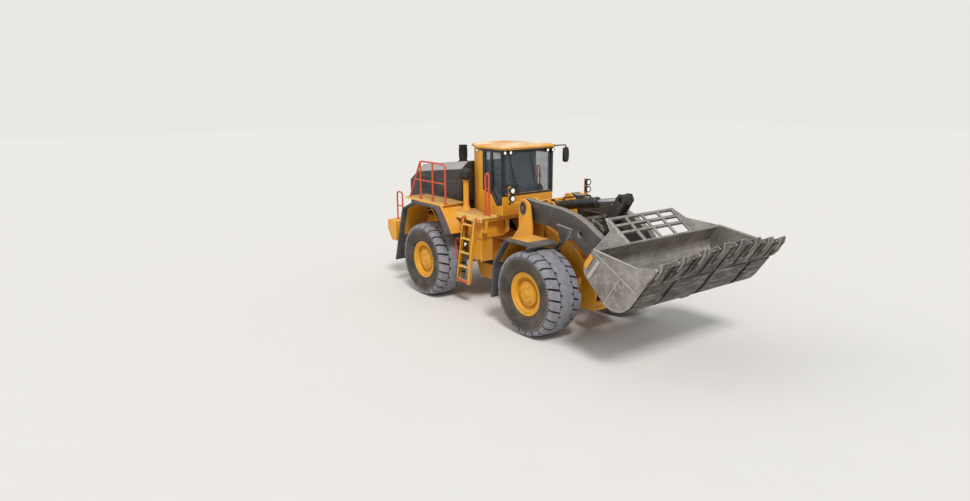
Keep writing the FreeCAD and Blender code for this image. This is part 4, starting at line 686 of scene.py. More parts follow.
class LoaderColours(bpy.types.PropertyGroup):
    """Colours of the machine's finishes."""

    yellow: paint("Yellow", "Body and frame enamel", "#E29A03")
    rim: paint("Rim", "Enamel on the rims", "#DE9C0E")
    charcoal: paint("Charcoal", "Hood's sides", "#33302F")
    hood_top: paint("Hood top", "Hood's top", "#A09B98")
    arm: paint("Arms", "Lift arms", "#3E3B3B")
    rail: paint("Rails", "Handrails", "#D5502C")
    fender: paint("Fender edge", "Rubber of the fenders", "#45444A")
    tyre: paint("Tyre", "Rubber in grooves and walls", "#232222")
    tyre_top: paint("Tread", "Scuffed top of the lugs", "#8C8B91")
    bucket: paint("Bucket", "Scoured plate", "#A29C94")


class LoaderStage(bpy.types.PropertyGroup):
    """The floor, the light and the camera."""

    floor: paint("Floor", "Colour of the floor", "#DAD7D1")
    sun: FloatProperty(name="Sun", description="Strength of the key light", default=2.3, min=0)
    sky: FloatProperty(name="Sky", description="Strength of the light from all round", default=0.62, min=0)
    lens: FloatProperty(
        name="Lens", description="Focal length on a 36 mm sensor", default=26.02, unit="CAMERA"
    )


def sizes():
    """The scene's sizes."""
    return bpy.context.scene.loader_sizes


# Wheels.


# Half of a tyre's section, from bead to crown: radius, distance from the middle plane, how deep the cross
# groove and the groove round the tyre go, and how far the cross groove is shifted, in pitches.
TYRE_ROWS = (
    (432, 335, 0, 0, 0.0), (505, 345, 0, 0, 0.0), (514, 378, 0, 0, 0.0), (540, 400, 0, 0, 0.0),
    (548, 412, 0, 0, 0.0), (564, 414, 0, 0, 0.0), (572, 408, 0, 0, 0.0), (620, 426, 0, 0, 0.0),
    (690, 436, 0, 0, 0.0), (696, 444, 0, 0, 0.0), (710, 445, 0, 0, 0.0), (716, 439, 0, 0, 0.0),
    (770, 442, 0, 0, 0.0), (822, 442, 0, 0, 0.0), (862, 441, 0, 0, -0.30), (868, 441, 26, 0, -0.30),
    (900, 435, 40, 0, -0.28), (928, 424, 50, 0, -0.26), (946, 406, 57, 0, -0.24), (961, 380, 62, 0, -0.21),
    (973, 325, 62, 0, -0.14), (983, 255, 62, 0, -0.06), (988, 206, 62, 0, 0.0), (988.4, 200, 62, 54, 0.0),
    (989, 184, 54, 54, 0.48), (989.4, 178, 54, 0, 0.48), (993, 138, 50, 0, 0.50), (994, 132, 0, 0, 0.50),
    (998, 70, 0, 0, 0.50), (1000, 0, 0, 0, 0.50),
)
# The cross groove's full depth in these rows, and the radii between which wall turns to tread (mm).
FULL_GROOVE = 62
TREAD_START, TREAD_FULL = 862, 868
# How deep a point lies where scuffing ends, and where a groove's painted shade is at its darkest (mm).
SCUFFED_TO, GROOVE_SHADE_DEPTH = 14, 40
# Where the samples of one pitch lie, and whether they are down in the cross groove.
PITCH = ((0.0, 1), (0.13, 1), (0.165, 0), (0.40, 0), (0.70, 0), (0.965, 0))


def tyre_surface(centre, lugs, depth):
    """P(u, i) = axle + the section's row i, sunk along its normal by the grooves, at an angle of u pitches
    plus the row's own shift, so the mesh runs along the curved grooves. Also gives how scuffed each point
    is and how deep it lies, from 0 to 1."""
    half = np.array(TYRE_ROWS, float)
    other = half[-2::-1] * (1, -1, 1, 1, 1)
    other[:, 4] = 1.0 - other[:, 4]
    rows = np.vstack([half, other])
    rows[:, 2] *= depth / MM / FULL_GROOVE
    section = rows[:, :2]
    along = np.gradient(section, axis=0)
    normal = np.stack([-along[:, 1], along[:, 0]], axis=1)
    normal /= np.linalg.norm(normal, axis=1, keepdims=True)
    stations = np.array([k + u for k in range(lugs) for u, _ in PITCH])
    in_groove = np.tile([down for _, down in PITCH], lugs)
    sunk = np.maximum(rows[:, 3], rows[:, 2] * in_groove[:, None])
    ring = section[None] - normal[None] * sunk[..., None]
    angle = (stations[:, None] + rows[:, 4]) * 2 * np.pi / lugs
    points = np.stack([ring[..., 0] * np.cos(angle), ring[..., 1], ring[..., 0] * np.sin(angle)], axis=-1)
    on_tread = np.clip((rows[:, 0] - TREAD_START) / (TREAD_FULL - TREAD_START), 0, 1)
    wear = np.clip(1 - sunk / SCUFFED_TO, 0, 1) * on_tread
    # Green, how deep a point lies, sets the painted shade in the grooves.
    marks = np.stack([wear, np.clip(sunk / GROOVE_SHADE_DEPTH, 0, 1), 0 * wear, 0 * wear + 1], axis=-1)
    return grid(points + centre, close_u=True, close_v=True), marks.reshape(-1, 4)


def buttress_blocks(centre, side, count):
    """Small raised blocks round a tyre's shoulder: one block's corners turned to evenly spaced angles."""
    angle = turns(count)[:, None]
    share = 0.30
    half = share * 2 * np.pi / count
    radius = np.array([812, 812, 856, 856, 815, 815, 852, 852.0])
    swing = np.array([-1, 1, 1, -1, -0.9, 0.9, 0.9, -0.9]) * half
    out = np.array([436, 436, 436, 436, 448, 448, 448, 448.0]) * side
    turned = angle + swing
    points = np.stack([radius * np.cos(turned), out + 0 * turned, radius * np.sin(turned)], axis=-1) + centre
    one = np.array([[4, 5, 6, 7], [0, 1, 5, 4], [1, 2, 6, 5], [2, 3, 7, 6], [3, 0, 4, 7], [0, 3, 2, 1]])
    faces = (one[None] + 8 * np.arange(count)[:, None, None]).reshape(-1, 4).tolist()
    return (points.reshape(-1, 3), faces), np.tile((0.55, 0.0, 0.0, 1.0), (8 * count, 1))


class LOADER_OT_tyres(bpy.types.Operator):
    """Four rock tyres with staggered blocks"""

    bl_idname = "loader.tyres"
    bl_label = "Tyres"

    def execute(self, context):
        for name in WHEELS:
            node = f"tyre_{name}"
            centre = middle_of(node)
            made = [tyre_surface(centre, sizes().lugs, sizes().groove)]
            made += [buttress_blocks(centre, side, 3 * sizes().lugs) for side in (1, -1)]
            parts, marks = [(part, 0) for part, _ in made], np.vstack([mark for _, mark in made])
            look = finishes("tread_rubber")
            piece(node + "_tread", parts, look, f"wheel_{name}", [node], wear=marks)
        return {"FINISHED"}


# A rim and its planetary hub, from the barrel's inner end round to the back: radius, and distance outward
# from the wheel's middle plane.
RIM_ROWS = (
    (429, -356), (429, 355.5), (506, 356), (508, 366), (501, 376), (484, 379), (470, 374), (462, 362),
    (454, 350), (440, 346), (420, 352), (404, 352), (392, 344), (384, 328), (378, 262), (370, 236),
    (350, 222), (318, 214), (302, 220), (292, 236), (288, 282), (281, 297), (262, 304), (236, 307),
    (226, 318), (212, 326), (178, 328), (170, 336), (158, 341), (146, 336), (138, 330), (86, 332),
    (78, 342), (66, 347), (0, 347), (0, -165), (374, -165), (395, -356),
)


class LOADER_OT_rims(bpy.types.Operator):
    """Four rims with their planetary hubs, nuts and plugs"""

    bl_idname = "loader.rims"
    bl_label = "Rims"

    def execute(self, context):
        enamel, steel, plastic = range(3)
        for name in WHEELS:
            node = f"rim_{name}"
            centre = middle_of(f"tyre_{name}")
            side = 1 if name.endswith("left") else -1
            profile = np.array(RIM_ROWS) * (1, side)
            parts = [(lathe(profile, centre, "Y", 96), enamel)]
            # Nuts on the hub's ring, on its cap and on the disc: how far out, their circle, number and size.
            for level, radius, count, across, height in (
                (300, 254, sizes().rim_nuts, 24, 15), (328, 112, 8, 20, 12), (216, 334, 18, 30, 18)
            ):
                places = circle_of(centre + (0, level * side, 0), "Y", radius, count)
                parts.append((bolts(places, "Y", across, height * side), enamel))
            plugs = circle_of(centre + (0, 325 * side, 0), "Y", 196, 3, 0.5)
            parts.append((bolts(plugs, "Y", 34, 12 * side), steel))
            parts.append((bolts([centre + (0, 352 * side, -446)], "Y", 16, 26 * side), plastic))
            look = finishes("yellow_rim", "pin_steel", "black_plastic")
            piece(node + "_disc", parts, look, f"wheel_{name}", [node])
        return {"FINISHED"}


def mirrored(half):
    """Half a profile and its mirror image, in one line."""
    return half + [(radius, -out) for radius, out in half[::-1]]


class LOADER_OT_axles(bpy.types.Operator):
    """Axle housings turned smooth, with hub bowls and rings of bolts"""

    bl_idname = "loader.axles"
    bl_label = "Axles"

    def execute(self, context):
        enamel, steel = range(2)
        for name in ("front", "rear"):
            node = f"{name}_axle"
            low, high = span_of(node)
            middle = middle_of(f"tyre_{name}_left") * (1, 0, 1)
            inward = -1 if name == "front" else 1
            reach = high[1]
            shift = 60 * inward
            half = [
                (0, reach), (258, reach), (258, reach - 322), (205, reach - 335), (164, reach - 420),
                (160, 330), (168, 260)
            ]
            bowl = [(170, 262), (236, 236), (282, 172), (289, 60)]
            centre = middle + (shift, 0, 0)
            start, end = (low[0], centre[0]) if inward < 0 else (centre[0], high[0])
            length = end - start
            nose = [(120, 0), (139, 40), (139, length)]
            if inward > 0:
                nose = [(radius, length - out) for radius, out in nose[::-1]]
            parts = [
                (solid(mirrored(half), middle, "Y", 48), enamel),
                (solid(mirrored(bowl), centre, "Y", 64), enamel),
                (solid(nose, (start, 0, middle[2]), "X", 40), enamel),
                (bolt_circle(centre + (0, 215, 0), "Y", 215, 18, 24, 26), steel),
                (bolt_circle(centre - (0, 215, 0), "Y", 215, 18, 24, -26), steel),
            ]
            look = finishes("yellow_enamel", "pin_steel")
            piece(node + "_housing", parts, look, BODY_OF[node], [node], bevel=4)
        return {"FINISHED"}


# Front end.


def arm_rule(middle, normal):
    """The arms' edges that face up or down are scraped; their faces are enamel."""
    return 1 if abs(normal[1]) < 0.3 and abs(middle[1]) > 600 else 0


class LOADER_OT_arms(bpy.types.Operator):
    """Lift arms, cross tube, pin bosses and the pipes along them"""

    bl_idname = "loader.arms"
    bl_label = "Lift arms"

    def execute(self, context):
        enamel, steel = range(2)
        dressed("boom", finishes("arm_enamel", "arm_edge"), arm_rule, bevel=10, edge=1)
        parts, pipes = [], []
        collar = [(76, 0), (150, 0), (150, 9), (142, 14), (76, 14)]
        for _, side in SIDES:
            for level, way in ((635, -side), (845, side)):
                toe = np.array((4550, level * side, 1220))
                parts.append((lathe([(radius, out * way) for radius, out in collar], toe, "Y", 48), enamel))
                screws = circle_of(toe + (0, 12 * way, 0), "Y", 118, 10)
                parts.append((bolts(screws, "Y", 24, 12 * way), steel))
            # Caps over the ends of the lift cylinder's pin, on the arm's two plates.
            for level, way in ((655, -side), (825, side)):
                rows = [(0, 0), (70, 0), (70, 9 * way), (62, 14 * way), (0, 14 * way)]
                parts.append((solid(rows, (2450, level * side, 2280)), steel))
            for y, offset in ((642, -30), (594, 18)):
                y = y * side
                route = [(1640, y, 2600), (2380, y, 2590), (2720, y, 2500 - offset), (3020, y, 2390 - offset)]
                pipes.append((tube(filleted(route, 160, 7), sizes().pipe / MM, 10), enamel))
            for x, z in ((1800, 2600), (2200, 2597)):
                pipes.append((box(x - 30, x + 30, 575 * side, 658 * side, z - 30, z + 34), steel))
        piece("arm_pin_collars", parts, finishes("arm_enamel", "pin_steel"), "boom")
        look = finishes("black_enamel", "pin_steel")
        piece("arm_pipes", pipes, look, "boom", bevel=3)
        return {"FINISHED"}


def along_slope(parts, base, angle):
    """Parts drawn along +X from the origin, raised by an angle at their base pin."""
    moved = []
    for part, number in parts:
        verts, faces = leaned(part, np.zeros(3), "Y", -angle)
        moved.append(((verts + base, faces), number))
    return moved


# Cylinders: node stem, base pin, rod pin, barrel radius, barrel length, rod radius, eye radius and half the
# eyes' width.
CYLINDERS = (
    ("tilt", (1300, 0, 2740), (3470, 0, 3140), 115, 1400, 70, 120, 80),
    ("lift_left", (1050, 740, 750), (2450, 740, 2280), 105, 1560, 65, 112, 80),
    ("lift_right", (1050, -740, 750), (2450, -740, 2280), 105, 1560, 65, 112, 80),
)


def eye(x, radius, half, hole):
    """A rod eye round Y: a ring with chamfered faces."""
    edge = 10
    rows = [
        (hole, -half), (radius - edge, -half), (radius, -half + edge), (radius, half - edge),
        (radius - edge, half), (hole, half)
    ]
    return lathe(rows, (x, 0, 0), "Y", 40)


def barrel_parts(radius, length, rod, eye_radius, half, pin, piped):
    """A cylinder's welded barrel along +X: base eye, tube, gland and screws, ports and the pipe between."""
    enamel, steel = range(2)
    rows = [
        (rod + 1, length), (radius - 4, length), (radius + 12, length - 14), (radius + 12, length - 74),
        (radius, length - 84), (radius, length - 210), (radius + 6, length - 214), (radius + 6, length - 250),
        (radius, length - 254), (radius, 190), (radius - 20, 150), (60, 128), (0, 128), (0, 180),
        (rod + 1, 190),
    ]
    parts = [
        (lathe(rows, (0, 0, 0), "X", 48), enamel),
        (eye(0, eye_radius, half, pin), enamel),
        (box(60, 190, -half * 0.8, half * 0.8, -half * 0.7, half * 0.7), enamel),
        (bolt_circle((length - 4, 0, 0), "X", radius - 8, 12, 20, 14), steel),
    ]
    for x in (260, length - 232):
        port = [(0, 0), (26, 0), (26, 44), (0, 44)]
        parts.append((solid(port, (x, 0, radius - 12), "Z", 16), enamel))
    if piped:
        low, high = radius + 26, radius + 60
        route = [
            (260, 0, low), (260, 0, high), (420, 34, high), (length - 420, 34, high), (length - 232, 0, high)
        ]
        route.append((length - 232, 0, low))
        parts.append((tube(filleted(route, 60, 6), sizes().pipe / MM, 10), enamel))
    return parts


def rod_parts(start, reach, rod, end_radius, half, hole):
    """A cylinder's chromed rod along +X, its eye and the pin through it."""
    chrome, enamel, steel = range(3)
    shaft = [(0, start), (rod - 3, start), (rod, start + 6), (rod, reach - end_radius + 20)]
    shaft += [(rod + 14, reach - end_radius + 30), (rod + 14, reach - 40), (0, reach - 40)]
    pin = [(0, -half + 2), (hole + 0.2, -half + 2), (hole + 0.2, half - 2), (0, half - 2)]
    return [
        (solid(shaft, (0, 0, 0), "X", 40), chrome),
        (eye(reach, end_radius, half, hole), enamel),
        (solid(pin, (reach, 0, 0)), steel),
    ]


class LOADER_OT_cylinders(bpy.types.Operator):
    """Lift, tilt and steering cylinders: welded barrels, glands, chromed rods and eyes"""

    bl_idname = "loader.cylinders"
    bl_label = "Cylinders"

    def execute(self, context):
        for stem, base, end, radius, length, rod, eye_radius, half in CYLINDERS:
            base, end = np.array(base, float), np.array(end, float)
            run = end - base
            reach = math.hypot(run[0], run[2])
            angle = math.degrees(math.atan2(run[2], run[0]))
            kind, _, side = stem.partition("_")
            tail = f"_{side}" if side else ""
            barrel, shaft = f"{kind}_barrel{tail}", f"{kind}_rod{tail}"
            tilt = kind == "tilt"
            tube_look = finishes("black_enamel", "pin_steel")
            parts = barrel_parts(radius, length, rod, eye_radius, half, 60.5 if tilt else 55.5, tilt)
            parts = along_slope(parts, base, angle)
            piece(barrel + "_tube", parts, tube_look, BODY_OF[barrel], [barrel], bevel=3)
            sizes_of_rod = (820, 125, half, 60.2) if tilt else (474, 105, half - 5, 50.2)
            start, end_radius, half_eye, hole = sizes_of_rod
            parts = along_slope(rod_parts(start, reach, rod, end_radius, half_eye, hole), base, angle)
            look = finishes("chrome", "black_enamel", "pin_steel")
            piece(shaft + "_shaft", parts, look, BODY_OF[shaft], [shaft])
        for name, _ in SIDES:
            dressed(f"steer_barrel_{name}", finishes("black_enamel"), bevel=4)
            dressed(f"steer_rod_{name}", finishes("chrome"), bevel=0)
        return {"FINISHED"}


class LOADER_OT_linkage(bpy.types.Operator):
    """Bell crank, bucket link and their pins"""

    bl_idname = "loader.linkage"
    bl_label = "Linkage"

    def execute(self, context):
        steel, enamel = range(2)
        dressed("bell_crank", finishes("black_enamel"), bevel=10)
        dressed("bucket_link", finishes("black_enamel"), bevel=8)
        for node in ("crank_pin", "link_pin", "tilt_base_pin", "bucket_pins"):
            dressed(node, finishes("pin_steel"), bevel=5)
        # Each pin's two caps: how far along, how high, how far out, their radius and the pin's body.
        for x, z, reach, radius, carrier in (
            (2950, 2400, 246, 96, "crank_carrier"),
            (3050, 1250, 171, 88, "link_carrier"),
            (1300, 2740, 171, 88, "tilt_carrier"),
        ):
            parts = []
            for side in (1, -1):
                at = np.array((x, reach * side, z))
                rows = [(0, 0), (radius, 0), (radius, 10 * side), (radius - 8, 16 * side), (0, 16 * side)]
                parts.append((solid(rows, at), steel))
                screws = circle_of(at + (0, 14 * side, 0), "Y", radius * 0.6, 4, 0.4)
                parts.append((bolts(screws, "Y", 22, 12 * side), enamel))
            name = carrier.replace("carrier", "pin_caps")
            piece(name, parts, finishes("pin_steel", "black_enamel"), carrier)
        return {"FINISHED"}


BUCKET_AT = (5400.0, 1450.0)
BUCKET_LEAN = math.radians(55)


def on_bucket(points):
    """Points in the bucket's own frame, along its floor and up from it, as x and z of the machine."""
    a, b = np.asarray(points, float).T
    x = BUCKET_AT[0] + a * math.cos(BUCKET_LEAN) - b * math.sin(BUCKET_LEAN)
    z = BUCKET_AT[1] + a * math.sin(BUCKET_LEAN) + b * math.cos(BUCKET_LEAN)
    return np.stack([x, z], axis=1)


def bucket_plate(points, low, high):
    """An outline in the bucket's own frame, carried across the machine."""
    return plate(on_bucket(points), "XZ", low, high)


def bucket_rule(middle, normal):
    """Faces under the floor that turn down take a painted shade; the teeth are ground bright."""
    ahead = np.array((math.cos(BUCKET_LEAN), math.sin(BUCKET_LEAN)))
    square = np.array((-math.sin(BUCKET_LEAN), math.cos(BUCKET_LEAN)))
    offset = np.array((middle[0] - BUCKET_AT[0], middle[2] - BUCKET_AT[1]))
    along, up = offset @ ahead, offset @ square
    facing = normal[0] * square[0] + normal[2] * square[1]
    if along > 1180:
        return 2
    return 1 if facing < -0.35 and up < 120 else 0


def heel_arc(radius, start, end, steps=8):
    """Points round the bucket's heel, from the floor towards the back; its middle is (189, 510)."""
    turn = np.radians(np.linspace(start, end, steps))
    return np.stack([189 + radius * np.cos(turn), 510 + radius * np.sin(turn)], axis=1).tolist()


class LOADER_OT_bucket(bpy.types.Operator):
    """The rock bucket: plate, edge segments, heel plates, side cutters and tooth adapters"""

    bl_idname = "loader.bucket"
    bl_label = "Bucket"

    def execute(self, context):
        # Finish 1 is the underside's painted shade; worn is the wear plates' finish, also painted dark as
        # shade.
        steel, _, tooth, seam, enamel, worn = range(6)
        look = finishes("bucket_steel", "bucket_underside_painted_shade", "tooth_steel", "weld_edge")
        dressed("bucket", look, bucket_rule, bevel=7, edge=3)
        parts = []
        lip, nose, half, straight = 1130, 240, 1990, 450

        def lip_at(y):
            """How far out the spade-shaped lip stands, which is straight for a way on either side."""
            return lip + nose * np.minimum(1.0, (half - np.abs(y)) / (half - straight))

        for _, side in SIDES:
            y = half * side
            # The rim's doubler and the two weld seams of the side plate, each a thin outline on its face.
            rim = [(350, 1352), (384, 1300), (900, 262), (868, 262), (330, 1330)]
            parts.append((bucket_plate(rim, y, y + 9 * side), seam))
            for (a0, b0), (a1, b1) in (((315, 1300), (445, 20)), ((-325, 506), (392, 506))):
                along = np.array((a1 - a0, b1 - b0)) / math.hypot(a1 - a0, b1 - b0)
                across = np.array((-along[1], along[0])) * 8
                line = np.array([(a0, b0), (a1, b1), (a1, b1), (a0, b0)]) + [across, across, -across, -across]
                parts.append((bucket_plate(line, y, y + 8 * side), seam))
            # The side cutter by the lip and the heel shroud below the lower seam.
            cutter = [(700, -2), (1126, -2), (1126, 52), (934, 296), (848, 336), (800, 250)]
            parts.append((bucket_plate(cutter, y, y + 16 * side), steel))
            shroud = heel_arc(512, -90, -178) + heel_arc(448, -178, -90) + [(690, 62), (690, -2)]
            parts.append((bucket_plate(shroud, y, y + 14 * side), steel))
            # A blank raised plate under the back corner, and the painted guard strip above it.
            bare = [(-212, 1062), (250, 1052), (256, 1130), (-208, 1142)]
            parts.append((bucket_plate(bare, y, y + 12 * side), seam))
            guard = [(-120, 1235), (200, 1235), (230, 1340), (-60, 1340)]
            parts.append((bucket_plate(guard, y, y + 14 * side), enamel))
        # Edge segments over and under the lip, one behind each tooth, with open slots between them.
        count, inset, slot, back_edge = 8, 110, 38, 752.0
        teeth = (half - inset) * (2 * np.arange(count) / (count - 1) - 1)
        pitch = teeth[1] - teeth[0]
        for y in teeth:
            ends = np.clip(np.array((y - pitch / 2 + slot, y + pitch / 2 - slot)), -half, half)
            reach = lip_at(ends)
            for front, back, low, high in ((16, 170, 58, 78), (10, None, -38, -12)):
                start = reach - back if back else np.array((back_edge, back_edge))
                flat = [(start[0], ends[0]), (reach[0] + front, ends[0])]
                flat += [(reach[1] + front, ends[1]), (start[1], ends[1])]
                verts = []
                for level in (low, high):
                    xz = on_bucket([(a, level) for a, _ in flat])
                    verts += [(x, across, z) for (x, z), (_, across) in zip(xz, flat)]
                sides_of = [[0, 4, 5, 1], [1, 5, 6, 2], [2, 6, 7, 3], [3, 7, 4, 0]]
                faces = [[0, 1, 2, 3], [7, 6, 5, 4]] + sides_of
                # Segments under the lip take the wear plates' darker finish, a painted shade.
                parts.append(((np.array(verts), faces), worn if high < 0 else steel))
            # The adapter that clasps the lip behind the tooth.
            tip = lip_at(y)
            upper = [(tip - 300, 76), (tip - 170, 112), (tip - 40, 96), (tip - 40, 76)]
            lower = [(tip - 400, -36), (tip - 40, -36), (tip - 40, -62), (tip - 210, -84), (tip - 360, -56)]
            for outline in (upper, lower):
                parts.append((bucket_plate(outline, y - 78, y + 78), tooth))
        # Heel plates: four across the width, from behind the segments round the heel, in the wear plates'
        # painted shade.
        bottom = heel_arc(512, -90, -150) + heel_arc(536, -150, -90)
        outline = bottom + [(680, -26), (700, -2)]
        for low, high in ((-1960, -1280), (-1130, -75), (75, 1130), (1280, 1960)):
            parts.append((bucket_plate(outline, low, high), worn))
        # Ribs on the back plate.
        for y in (-1560, -1120, 1120, 1560):
            rib = [(-326, 600), (-262, 1180), (-252, 1180), (-258, 1210), (-292, 1210), (-346, 620)]
            parts.append((bucket_plate(rib, y - 24, y + 24), steel))
        look += finishes("yellow_enamel", "wear_plate_painted_shade")
        piece("bucket_wear_parts", parts, look, "bucket", bevel=4)
        return {"FINISHED"}


# Frames and body.


class LOADER_OT_frames(bpy.types.Operator):
    """Front and rear frames, tower bolts, counterweight and the tanks between the wheels"""

    bl_idname = "loader.frames"
    bl_label = "Frames"

    def execute(self, context):
        enamel, steel, plastic = range(3)
        red, clear = range(2)
        for node in ("rear_frame", "front_frame", "counterweight", "side_tank_left", "side_tank_right"):
            dressed(node, finishes("yellow_enamel"), bevel=9)
        towers, tanks, lamps = [], [], []
        turn = turns(40)
        for _, side in SIDES:
            # The boom pin's retainer stands on an oval plate on the tower, above a row of bolts.
            pin = np.array((1150, 952 * side, 2760))
            for level, scale, number in ((6, 1.0, steel), (10, 0.8, plastic)):
                across, up = 112 * scale * np.cos(turn), 160 * scale * np.sin(turn)
                oval = np.stack([pin[0] + across, pin[2] + up], axis=1)
                towers.append((plate(oval, "XZ", 951 * side, (952 + level) * side), number))
            cap = [(0, 0), (62, 0), (62, 22 * side), (52, 28 * side), (0, 28 * side)]
            towers.append((solid(cap, pin), steel))
            pair = pin + np.array([(-34, 26 * side, 0), (34, 26 * side, 0)])
            towers.append((bolts(pair, "Y", 24, 12 * side), steel))
            row = [
                (800, 952 * side, 1880), (930, 952 * side, 1905), (1060, 952 * side, 1935),
                (1190, 952 * side, 1970)
            ]
            towers.append((bolts(row, "Y", 34, 18 * side), steel))
            # The tank's filler cap and straps, and the tool box's door with its latch and hinges.
            tank, door = 1180 * side, 1150 * side
            filler = [(0, 0), (58, 0), (58, 30 * side), (46, 42 * side), (0, 42 * side)]
            tanks.append((solid(filler, (-690, tank, 2140)), plastic))
            for x in (-620, -330):
                tanks.append((box(x - 24, x + 24, tank, tank + 8 * side, 1822, 2262), enamel))
            tanks.append((box(-790, -275, door, door + 10 * side, 1250, 1790), enamel))
            tanks.append((box(-570, -495, door + 8 * side, door + 34 * side, 1690, 1740), plastic))
            for x in (-740, -325):
                tanks.append((box(x - 30, x + 30, door + 6 * side, door + 22 * side, 1236, 1262), plastic))
            # A red and a clear tail lamp.
            for y, number in ((1300, red), (1180, clear)):
                rows = [(0, 0), (52, 0), (52, -22), (44, -30), (0, -30)]
                lamps.append((solid(rows, (-4519, y * side, 1620), "X"), number))
        look = finishes("yellow_enamel", "pin_steel", "black_plastic")
        piece("tower_fittings", towers, look, "front", bevel=3)
        piece("tank_fittings", tanks, look, "rear", bevel=3)
        piece("tail_lamps", lamps, finishes("tail_lens", "lamp_glass"), "rear")
        return {"FINISHED"}


def fender_rule(middle, normal):
    """The outer band is rubber, and so are the flaps that hang behind each wheel."""
    front = middle[0] > 0
    behind, band = (1340, 1600) if front else (-3170, 1630)
    return 1 if abs(middle[1]) > band or middle[0] > 2080 or (middle[0] < behind and middle[2] < 1560) else 0


class LOADER_OT_fenders(bpy.types.Operator):
    """Fenders with yellow tops, rubber bands, flaps and rolled edges"""

    bl_idname = "loader.fenders"
    bl_label = "Fenders"

    def execute(self, context):
        rubber, plastic = range(2)
        # How far out the edge runs, where the rubber band starts, the flaps' cuts and the edge's line.
        arches = {
            "rear": (
                1780, 1630, ((2, 1500),),
                [(-3570, 745), (-3104, 2285), (-2516, 2532), (-1432, 2532), (-1110, 2104), (-960, 1896)],
            ),
            "front": (
                1760, 1600, ((2, 1300), (0, 2080)),
                [(944, 665), (1034, 1530), (1474, 2146), (2206, 2146), (2318, 2088)],
            ),
        }
        for name, side in SIDES:
            for end, (reach, band, more, route) in arches.items():
                node = f"{end}_fender_{name}"
                look = finishes("yellow_enamel", "moulded_rubber")
                cuts = ((1, band * side), *more)
                dressed(node, look, fender_rule, cuts, bevel=8)
                path = np.insert(np.array(route, float), 1, (reach - 26) * side, axis=1)
                inner = path.copy()
                inner[:, 1] = (band + 4) * side
                seam = tube(filleted(inner + (0, 0, 14.0), 150, 6), 14, 8)
                rivets = np.linspace(path[2], path[3], 9) + (0, -70 * side, 22)
                edge = tube(filleted(path, 150, 6), 32, 12)
                parts = [(edge, rubber), (seam, rubber), (bolts(rivets, "Z", 22, 8), plastic)]
                look = finishes("moulded_rubber", "black_plastic")
                piece(f"{node}_rubber_edge", parts, look, BODY_OF[node])
        return {"FINISHED"}


# Cab.


# The right-hand window's outline, and the same line moved out to the black frame's edge.
WINDOW = ((150, 3990), (150, 2760), (10, 2730), (-200, 2990), (-520, 3050), (-520, 3990))
WINDOW_FRAME = ((218, 4046), (196, 2690), (-14, 2650), (-236, 2936), (-600, 3010), (-600, 4046))


def cab_rule(middle, normal):
    """Yellow enamel outside, lining in the room, black where an opening cuts through the wall."""
    (x, y, z), (nx, ny, nz) = middle, normal
    if nz > 0.9:
        return 1 if 2400 < z < 2600 else 0
    wall = (abs(y) > 822 and ny * y > 0.9 * abs(y)) or (x > 212 and nx > 0.9) or (x < -1440 and nx < -0.9)
    sloped = x < -760 and abs(y) > 480 and nx < -0.2 and ny * y > 0
    if wall or sloped or (nz < -0.9 and z < 2460):
        return 2 if x > 150 and z > 2905 else 0
    opening = (abs(y) > 776 and abs(ny) < 0.5) or (x > 170 and abs(nx) < 0.5) or (x < -1390 and abs(nx) < 0.5)
    return 2 if opening else 1


